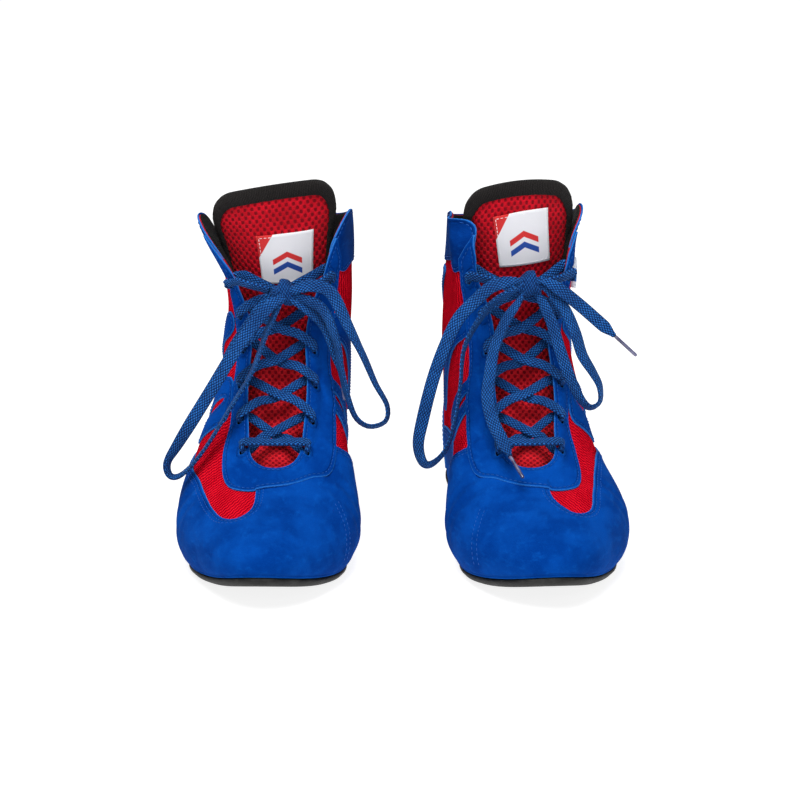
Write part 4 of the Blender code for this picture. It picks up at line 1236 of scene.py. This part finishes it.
def upper(boot):
    """The sewn solids of one boot and its stitching."""
    vamp = vamps[boot]
    layers = [vamp, *shared_layers]

    def eyestay_outer(s, t, far):
        resting = layer_under(s, t, layers) + THICK + 0.15
        lifted = at_throat(s, t)
        return resting * (1 - lifted) + EYESTAY_LIFT * lifted

    def eyestay_inner(s, t, far):
        return eyestay_outer(s, t, far) - THICK + 0.05

    def backstay_outer(s, t, far):
        return layer_under(s, t, layers) + THICK + 0.1

    def backstay_inner(s, t, far):
        return backstay_outer(s, t, far) - THICK + 0.05

    solids = {
        "vamp": vamp.slab(suede_outer, suede_inner, wave=creases),
        "eyestay": eyestay.slab(eyestay_outer, eyestay_inner),
        "backstay": backstay.slab(backstay_outer, backstay_inner, wave=soft_wave),
        "lining": lining.slab(lining_outer, lining_inner, rim=0.5, turn=0.4),
    }
    seam = np.stack([np.full(40, SEAM[boot]), np.linspace(0.11, 0.56, 40)], -1)
    rows = stitches([seam, seam + (0.006, 0)], on_top(suede_outer, creases, 9.0), pitch=2.6, length=1.5, radius=0.26)
    over_vamp = clear_of(eyestay, *front_stripes.values())
    for far in (2.2, 4.4):
        rows += stitches(vamp.chains(far), on_top(suede_outer, creases, far), keep=over_vamp)
    rows += stitches(lacing_flaps.chains(2.2), on_top(eyestay_outer), keep=clear_of())
    rows += stitches(backstay.chains(2.2), on_top(backstay_outer, soft_wave), keep=clear_of())
    for side in ("lateral", "medial"):
        solids["stripe_front_" + side] = front_stripes[side].slab(suede_outer, suede_inner)
        solids["stripe_rear_" + side] = rear_stripes[side].slab(suede_outer, suede_inner)
        solids["collar_" + side] = collars[side].slab(suede_outer, suede_inner, wave=soft_wave)
        solids["quarter_" + side] = quarters[side].slab(quarter_depth(MESH_FACE), quarter_depth(-1.6), wave=mesh_wave)
        rows += stitches(front_stripes[side].chains(2.0), on_top(suede_outer), keep=clear_of(eyestay))
        rows += stitches(rear_stripes[side].chains(2.0), on_top(suede_outer), keep=clear_of(eyestay, backstay))
        rows += stitches(collars[side].chains(2.2), on_top(suede_outer, soft_wave), keep=clear_of(eyestay, backstay))
    return solids, joined(rows)


for boot in SIDE:
    solids, stitching = upper(boot)
    for name, shape in solids.items():
        if name == "lining":
            piece(boot, name, shape, [LINING, RED_EDGE], [name], settle=True)
        elif "quarter" in name:
            piece(boot, name, shape, [QUARTER_MESH, QUARTER_MESH], [name], settle=True)
        else:
            # the collars take the darker copy of the suede, which is painted shade
            face = SHADED_COLLAR_SUEDE if "collar" in name else SUEDE
            piece(boot, name, shape, [face, CUT_EDGE], [name], settle=True)
    piece(boot, "stitching", stitching, [THREAD], [], settle=True)

# ---------------------------------------------------------------- tongue

TONGUE_THICK = 4.5
TOP_V = 0.99
CORNER_U, CORNER_V = 0.62, 0.89         # where the rounding of the top corners starts


TILT_MORE = {"right": -2.5, "left": 1.5}    # what the padding adds to the CAD's tilt, in millimetres at each side
DOME = {"right": 2.5, "left": 6.5}          # how far the middle of the top stands above its corners
TOP_SHIFT = {"right": 3.0, "left": -1.5}
TOP_NARROW = {"right": -0.10, "left": 0.05}


def tongue_front(boot, u, v):
    y, z, wide, sweep, drop, tilt = (np.interp(v, TONGUE[:, 0], TONGUE[:, k]) for k in range(1, 7))
    top = smoothstep(v, 0.72, 1.0)
    z = z - drop * u**2 + (tilt * TILT[boot] + top * TILT_MORE[boot]) * u + DOME[boot] * top**2 * (0.75 - u**2)
    return np.stack([u * wide * (1 - TOP_NARROW[boot] * top) + TOP_SHIFT[boot] * top, y + sweep * u**2, z], -1)


def smooth_tongue(boot, u, v):
    """The front with the kinks between its rows eased."""
    steps = (-0.045, -0.0225, 0, 0.0225, 0.045)
    return sum(tongue_front(boot, u, np.clip(v + k, 0, 1.03)) for k in steps) / len(steps)


def tongue_at(boot, u, v, depth):
    h = 2e-3
    along_u = smooth_tongue(boot, u + h, v) - smooth_tongue(boot, u - h, v)
    along_v = smooth_tongue(boot, u, v + h) - smooth_tongue(boot, u, v - h)
    return smooth_tongue(boot, u, v) + unit(np.cross(along_u, along_v)) * np.asarray(depth)[..., None]


def crown(u, v):
    """How far the padding stands out: full in the middle, pinched by the binding and the laces."""
    full = 1.5 * (1 - np.abs(u) ** 3) + 0.35 * np.sin(v * 34) * np.exp(-((u / 0.7) ** 2)) * smoothstep(v, 0.62, 0.5)
    return full * smoothstep(v, 1.0, 0.94)


def narrowed(v):
    return CORNER_U + (1 - CORNER_U) * np.sqrt(np.clip(1 - (np.clip(v - CORNER_V, 0, None) / (TOP_V - CORNER_V)) ** 2, 0, 1))


def grid_shell(front, back, uv):
    """A closed solid between two grids of points."""
    across, up = front.shape[:2]
    count = across * up
    cells = [
        (i * up + j, (i + 1) * up + j, (i + 1) * up + j + 1, i * up + j + 1)
        for i in range(across - 1)
        for j in range(up - 1)
    ]
    rim = [i * up for i in range(across)] + [(across - 1) * up + j for j in range(1, up)]
    rim += [i * up + up - 1 for i in range(across - 2, -1, -1)] + [j for j in range(up - 2, 0, -1)]
    faces = cells + [tuple(k + count for k in reversed(cell)) for cell in cells]
    slots = [0] * len(cells) + [1] * len(cells)
    for a, b in zip(rim, rim[1:] + rim[:1]):
        faces.append((b, a, a + count, b + count))
        slots.append(1)
    return Shape(np.concatenate([front.reshape(-1, 3), back.reshape(-1, 3)]), faces, np.tile(uv.reshape(-1, 2), (2, 1)), slots=slots)


def tongue(boot):
    u, v = np.meshgrid(np.linspace(-1, 1, 49), np.linspace(0, TOP_V, 150), indexing="ij")
    wide = u * narrowed(v)
    front = tongue_at(boot, wide, v, crown(u, v) + 0.15 * crumple(np.stack([30 * u, 240 * v, 0 * u], -1), 38, 31))
    back = tongue_at(boot, wide, v, -TONGUE_THICK - 0.6 * (1 - u**2))
    half_width = np.interp(v, TONGUE[:, 0], TONGUE[:, 3])
    uv = np.stack([wide * half_width, v * 237], -1)
    made = piece(boot, "tongue", grid_shell(front, back, uv), [TONGUE_MESH, LINING], ["tongue", "tongue_top"], rides=False)
    return made


BINDING_SECTION = (
    (-5.4, 1.5), (-5.0, 1.95), (-3.0, 2.15), (0.0, 1.9), (1.9, 0.9), (2.6, -1.2), (2.4, -3.6), (1.0, -5.2),
    (-2.0, -6.1), (-5.2, -6.1), (-5.4, -5.5), (-2.0, -5.2), (0.6, -4.3), (1.6, -3.0), (1.7, -1.3), (1.2, 0.1),
    (-0.4, 1.0), (-3.0, 1.3),
)


def binding(boot):
    """Ribbed tape folded round the sides and top of the tongue."""
    side_v = np.linspace(0.60, CORNER_V, 60)
    turn = np.linspace(0, pi / 2, 18)[1:]
    corner_u, corner_v = CORNER_U + (1 - CORNER_U) * np.cos(turn), CORNER_V + (TOP_V - CORNER_V) * np.sin(turn)
    top_u = np.linspace(CORNER_U, 0, 24)[1:]
    u = np.concatenate([np.ones(60), corner_u, top_u])
    v = np.concatenate([side_v, corner_v, np.full(23, TOP_V)])
    u, v = np.concatenate([u, -u[-2::-1]]), np.concatenate([v, v[-2::-1]])
    h = 2e-3
    edge = smooth_tongue(boot, u, v)
    along_u = smooth_tongue(boot, u + h, v) - smooth_tongue(boot, u - h, v)
    along_v = smooth_tongue(boot, u, v + h) - smooth_tongue(boot, u, v - h)
    normal = unit(np.cross(along_u, along_v))
    inner = smooth_tongue(boot, u * 0.9, np.minimum(v, CORNER_V))
    edge, normal, inner, v = even(edge, 1.0, normal, inner, v)
    ahead = unit(np.gradient(edge, axis=0))
    out = np.cross(ahead, normal)
    out *= np.sign(((edge - inner) * out).sum(-1, keepdims=True))
    run = np.arange(len(edge)) * 1.0
    pucker = 0.12 * np.sin(run * 2 * pi / 7.3) + 0.1 * np.sin(run * 2 * pi / 3.1)
    narrow = 0.62 + 0.38 * smoothstep(v[:, 0], 0.9, 0.975)
    points, uv = [], []
    for k, (far, high) in enumerate(BINDING_SECTION):
        reach = far * narrow if far < 0 else far
        points.append(edge + out * np.broadcast_to(reach, len(edge))[:, None] + normal * (high + pucker * (high > 0))[:, None])
        uv.append(np.stack([np.full(len(edge), k * 1.6), run], -1))
    sides = len(BINDING_SECTION)
    shape = Shape(np.stack(points, 1).reshape(-1, 3), tube_faces(len(edge), sides), np.stack(uv, 1).reshape(-1, 2))
    return piece(boot, "tongue_binding", shape, [BINDING], ["tongue_binding"], rides=False)


def label(boot):
    """The woven label and the thread round it."""
    low, high = FOLD[boot] + LABEL_LOW[boot], FOLD[boot] + LABEL_LOW[boot] + 0.13
    left_edge, right_edge = LABEL_SHIFT[boot] - 0.5, LABEL_SHIFT[boot] + 0.5
    flat_u, flat_v = np.meshgrid(np.linspace(left_edge, right_edge, 25), np.linspace(low, high, 29), indexing="ij")

    def turned(u, v):
        """The label is sewn on a little askew."""
        x, y = (u - LABEL_SHIFT[boot]) * 30, (v - (low + high) / 2) * 237
        lean = radians(LABEL_TURN[boot]) * SIDE[boot]
        return LABEL_SHIFT[boot] + (x * cos(lean) - y * sin(lean)) / 30, (low + high) / 2 + (x * sin(lean) + y * cos(lean)) / 237

    u, v = turned(flat_u, flat_v)
    lift = crown(u, v) + 0.12 * np.sin((flat_u - left_edge) * 9) * smoothstep(flat_v, high - 0.03, high)
    across = (flat_u - left_edge) if SIDE[boot] > 0 else (right_edge - flat_u)
    uv = np.stack([across, (flat_v - low) / (high - low)], -1)
    shape = grid_shell(tongue_at(boot, u, v, lift + 0.95), tongue_at(boot, u, v, lift + 0.25), uv)
    shape.slots = [0] * len(shape.slots)
    piece(boot, "tongue_label", shape, [LABEL], ["tongue_label"], body="tongue_flap")
    beads = []
    inset_u, inset_v = 0.045, 0.006
    corners = [
        (left_edge + inset_u, low + inset_v), (left_edge + inset_u, high - inset_v),
        (right_edge - inset_u, high - inset_v), (right_edge - inset_u, low + inset_v),
    ]
    for (u0, v0), (u1, v1) in zip(corners, corners[1:] + corners[:1]):
        long = np.linalg.norm(smooth_tongue(boot, u0, v0) - smooth_tongue(boot, u1, v1))
        count = int(long // 2.3)
        share = (np.arange(count) + 0.5) / count
        us, vs = turned(u0 + (u1 - u0) * share, v0 + (v1 - v0) * share)
        here = tongue_at(boot, us, vs, crown(us, vs) + 1.0)
        above = tongue_at(boot, us, vs, crown(us, vs) + 2.0)
        next_u, next_v = turned(u0 + (u1 - u0) * (share + 0.01), v0 + (v1 - v0) * (share + 0.01))
        next_on = tongue_at(boot, next_u, next_v, crown(us, vs) + 1.0)
        for k in range(count):
            along = unit(next_on[k] - here[k])
            normal = unit(above[k] - here[k])
            beads.append(bead(here[k], along, np.cross(normal, along), normal, 1.7, 0.22))
    piece(boot, "label_stitching", joined(beads), [WHITE_THREAD], [], body="tongue_flap")


for boot in SIDE:
    for made in (tongue(boot), binding(boot)):
        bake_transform(made)
    label(boot)

# ---------------------------------------------------------------- sole unit


def sole_points(inset, count, across):
    """A grid over the sole, from its toe to its heel and from its outer side to its inner one."""
    s = 0.5 * (1 - np.cos(np.linspace(0.03, pi - 0.03, count))) / 2
    outer, inner = sole_edge(s), sole_edge(1 - s)
    middle = (outer + inner) / 2
    width = np.linalg.norm(outer - inner, axis=1, keepdims=True)
    ends = sole_edge(np.array([0.0, 0.5]))
    stretch = 1 - 2 * inset / (ends[1, 1] - ends[0, 1])
    middle = (middle - ends.mean(0)) * stretch + ends.mean(0)
    half = (outer - inner) / 2 * np.clip(1 - 2 * inset / np.maximum(width, 14), 0.05, None)
    w = np.linspace(1, -1, across)[None, :, None]
    return middle[:, None, :] + half[:, None, :] * w


def sole_shell(flat, top, bottom, slots=(0, 0)):
    front = np.concatenate([flat, top[..., None]], -1)
    back = np.concatenate([flat, bottom[..., None]], -1)
    shape = grid_shell(front[:, ::-1], back[:, ::-1], flat[:, ::-1])
    return shape


def outsole():
    """A thin sole whose wall rolls under at the ground, with a shallow chevron tread."""
    shells = []
    flat = {inset: sole_points(inset, 230, 31) for inset in (-1.0, 0.6, 2.4)}
    w = np.linspace(1, -1, 31)[None, :]
    rise = toe_spring(flat[-1.0][..., 1])
    slanted = flat[2.4][..., 1] + 0.55 * np.abs(flat[2.4][..., 0] - 4)
    tread = smoothstep(np.sin(slanted * 2 * pi / 8.5), -0.1, 0.5) * smoothstep(1 - np.abs(w), 0.0, 0.08)
    ball = np.exp(-(((flat[2.4][..., 1] + 52) / 60) ** 4)) + np.exp(-(((flat[2.4][..., 1] - 95) / 30) ** 4))
    layers = [
        np.concatenate([flat[-1.0], (rise + 4.4)[..., None]], -1),
        np.concatenate([flat[-1.0], (rise + 2.6)[..., None]], -1),
        np.concatenate([flat[0.6], (toe_spring(flat[0.6][..., 1]) + 0.8)[..., None]], -1),
        np.concatenate([flat[2.4], (toe_spring(flat[2.4][..., 1]) + tread * np.clip(ball, 0, 1))[..., None]], -1),
    ]
    layers = [layer[:, ::-1] for layer in layers]
    across, up = layers[0].shape[:2]
    rim = [i * up for i in range(across)] + [(across - 1) * up + j for j in range(1, up)]
    rim += [i * up + up - 1 for i in range(across - 2, -1, -1)] + [j for j in range(up - 2, 0, -1)]
    shape = grid_shell(layers[0], layers[3], layers[0][..., :2])
    count = across * up
    walls = len(rim)
    faces = shape.faces[:-walls]
    loops = [np.array(rim)]
    points = [shape.points]
    for layer in layers[1:3]:
        loops.append(np.arange(walls) + sum(len(p) for p in points))
        points.append(layer.reshape(-1, 3)[rim])
    loops.append(np.array(rim) + count)
    for upper, lower in zip(loops, loops[1:]):
        for k in range(walls):
            m = (k + 1) % walls
            faces.append((upper[m], upper[k], lower[k], lower[m]))
    points = np.concatenate(points)
    return Shape(points, faces, points[:, :2])


def sock_liner():
    flat = sole_points(8.6, 120, 25)
    w = np.linspace(1, -1, 25)[None, :]
    rise = toe_spring(flat[..., 1])
    dish = 1.4 * np.abs(w) ** 3
    soft = 0.3 * crumple(np.concatenate([flat, rise[..., None]], -1), 40, 41)
    return sole_shell(flat, rise + 10.4 + dish + soft, rise + 7.7)


sole, liner = outsole(), sock_liner()
for boot in SIDE:
    piece(boot, "outsole", sole, [RUBBER, RUBBER], ["outsole"])
    piece(boot, "sock_liner", liner, [LINING, LINING], ["sock_liner"])
    for node, material in (("insole_board", BOARD), ("heel_stiffener", FELT)):
        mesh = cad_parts[f"{boot}_{node}"].data
        mesh.materials.clear()
        mesh.materials.append(material)


def side_tag():
    """A small loop of white woven tape with a blue band, folded flat and sewn on under the collar."""
    low, high = 0.798, 0.862
    s, t = np.meshgrid(np.linspace(0.297, 0.309, 9), np.linspace(low, high, 17), indexing="ij")
    lift = 3.1 + 0.5 * np.sin((t - low) / (high - low) * pi)
    base, normal = skin(s, t), skin_normal(s, t)
    shape = grid_shell(base + normal * lift[..., None], base - normal * 0.4, cloth_uv(s, t))
    shape.slots = [int(6 <= min(k % 17 for k in face) < 12) for face in shape.faces]
    return shape


piece("left", "side_tag", side_tag(), [TAG, TAG_BAND], ["side_tag"], settle=True)

# ---------------------------------------------------------------- floor and light

floor_look = Look("floor", Roughness=0.9, Specular_IOR_Level=0.1)
floor_look.shader.inputs["Base Color"].default_value = (0.45, 0.45, 0.45, 1)
floor_look.shader.inputs["Emission Color"].default_value = (1, 1, 1, 1)
floor_look.shader.inputs["Emission Strength"].default_value = 0.84
floor_mesh = bpy.data.meshes.new("floor")
reach = 14.0
floor_mesh.from_pydata([(-reach, -reach, 0), (reach, -reach, 0), (reach, reach, 0), (-reach, reach, 0)], [], [(0, 1, 2, 3)])
floor_mesh.materials.append(floor_look.material)
floor = bpy.data.objects.new("floor", floor_mesh)
floor.location.z = -0.0003
bpy.context.scene.collection.objects.link(floor)

world = bpy.data.worlds.new("studio")
world.use_nodes = True
world.node_tree.nodes["Background"].inputs["Color"].default_value = (1, 1, 1, 1)
world.node_tree.nodes["Background"].inputs["Strength"].default_value = 0.2
bpy.context.scene.world = world
bpy.context.scene.view_settings.view_transform = "Standard"

for name, place, size, power in (
    ("key", (-0.25, -0.95, 2.0), 1.2, 46),
    ("fill", (0.5, -1.9, 0.9), 1.0, 7),
    ("top", (0.1, -0.1, 2.0), 1.4, 7),
):
    light = bpy.data.objects.new(name, bpy.data.lights.new(name, "AREA"))
    light.data.size = size
    light.data.energy = power
    light.location = place
    light.rotation_euler = (Vector((0, 0, 0.08)) - light.location).to_track_quat("-Z", "Y").to_euler()
    bpy.context.scene.collection.objects.link(light)
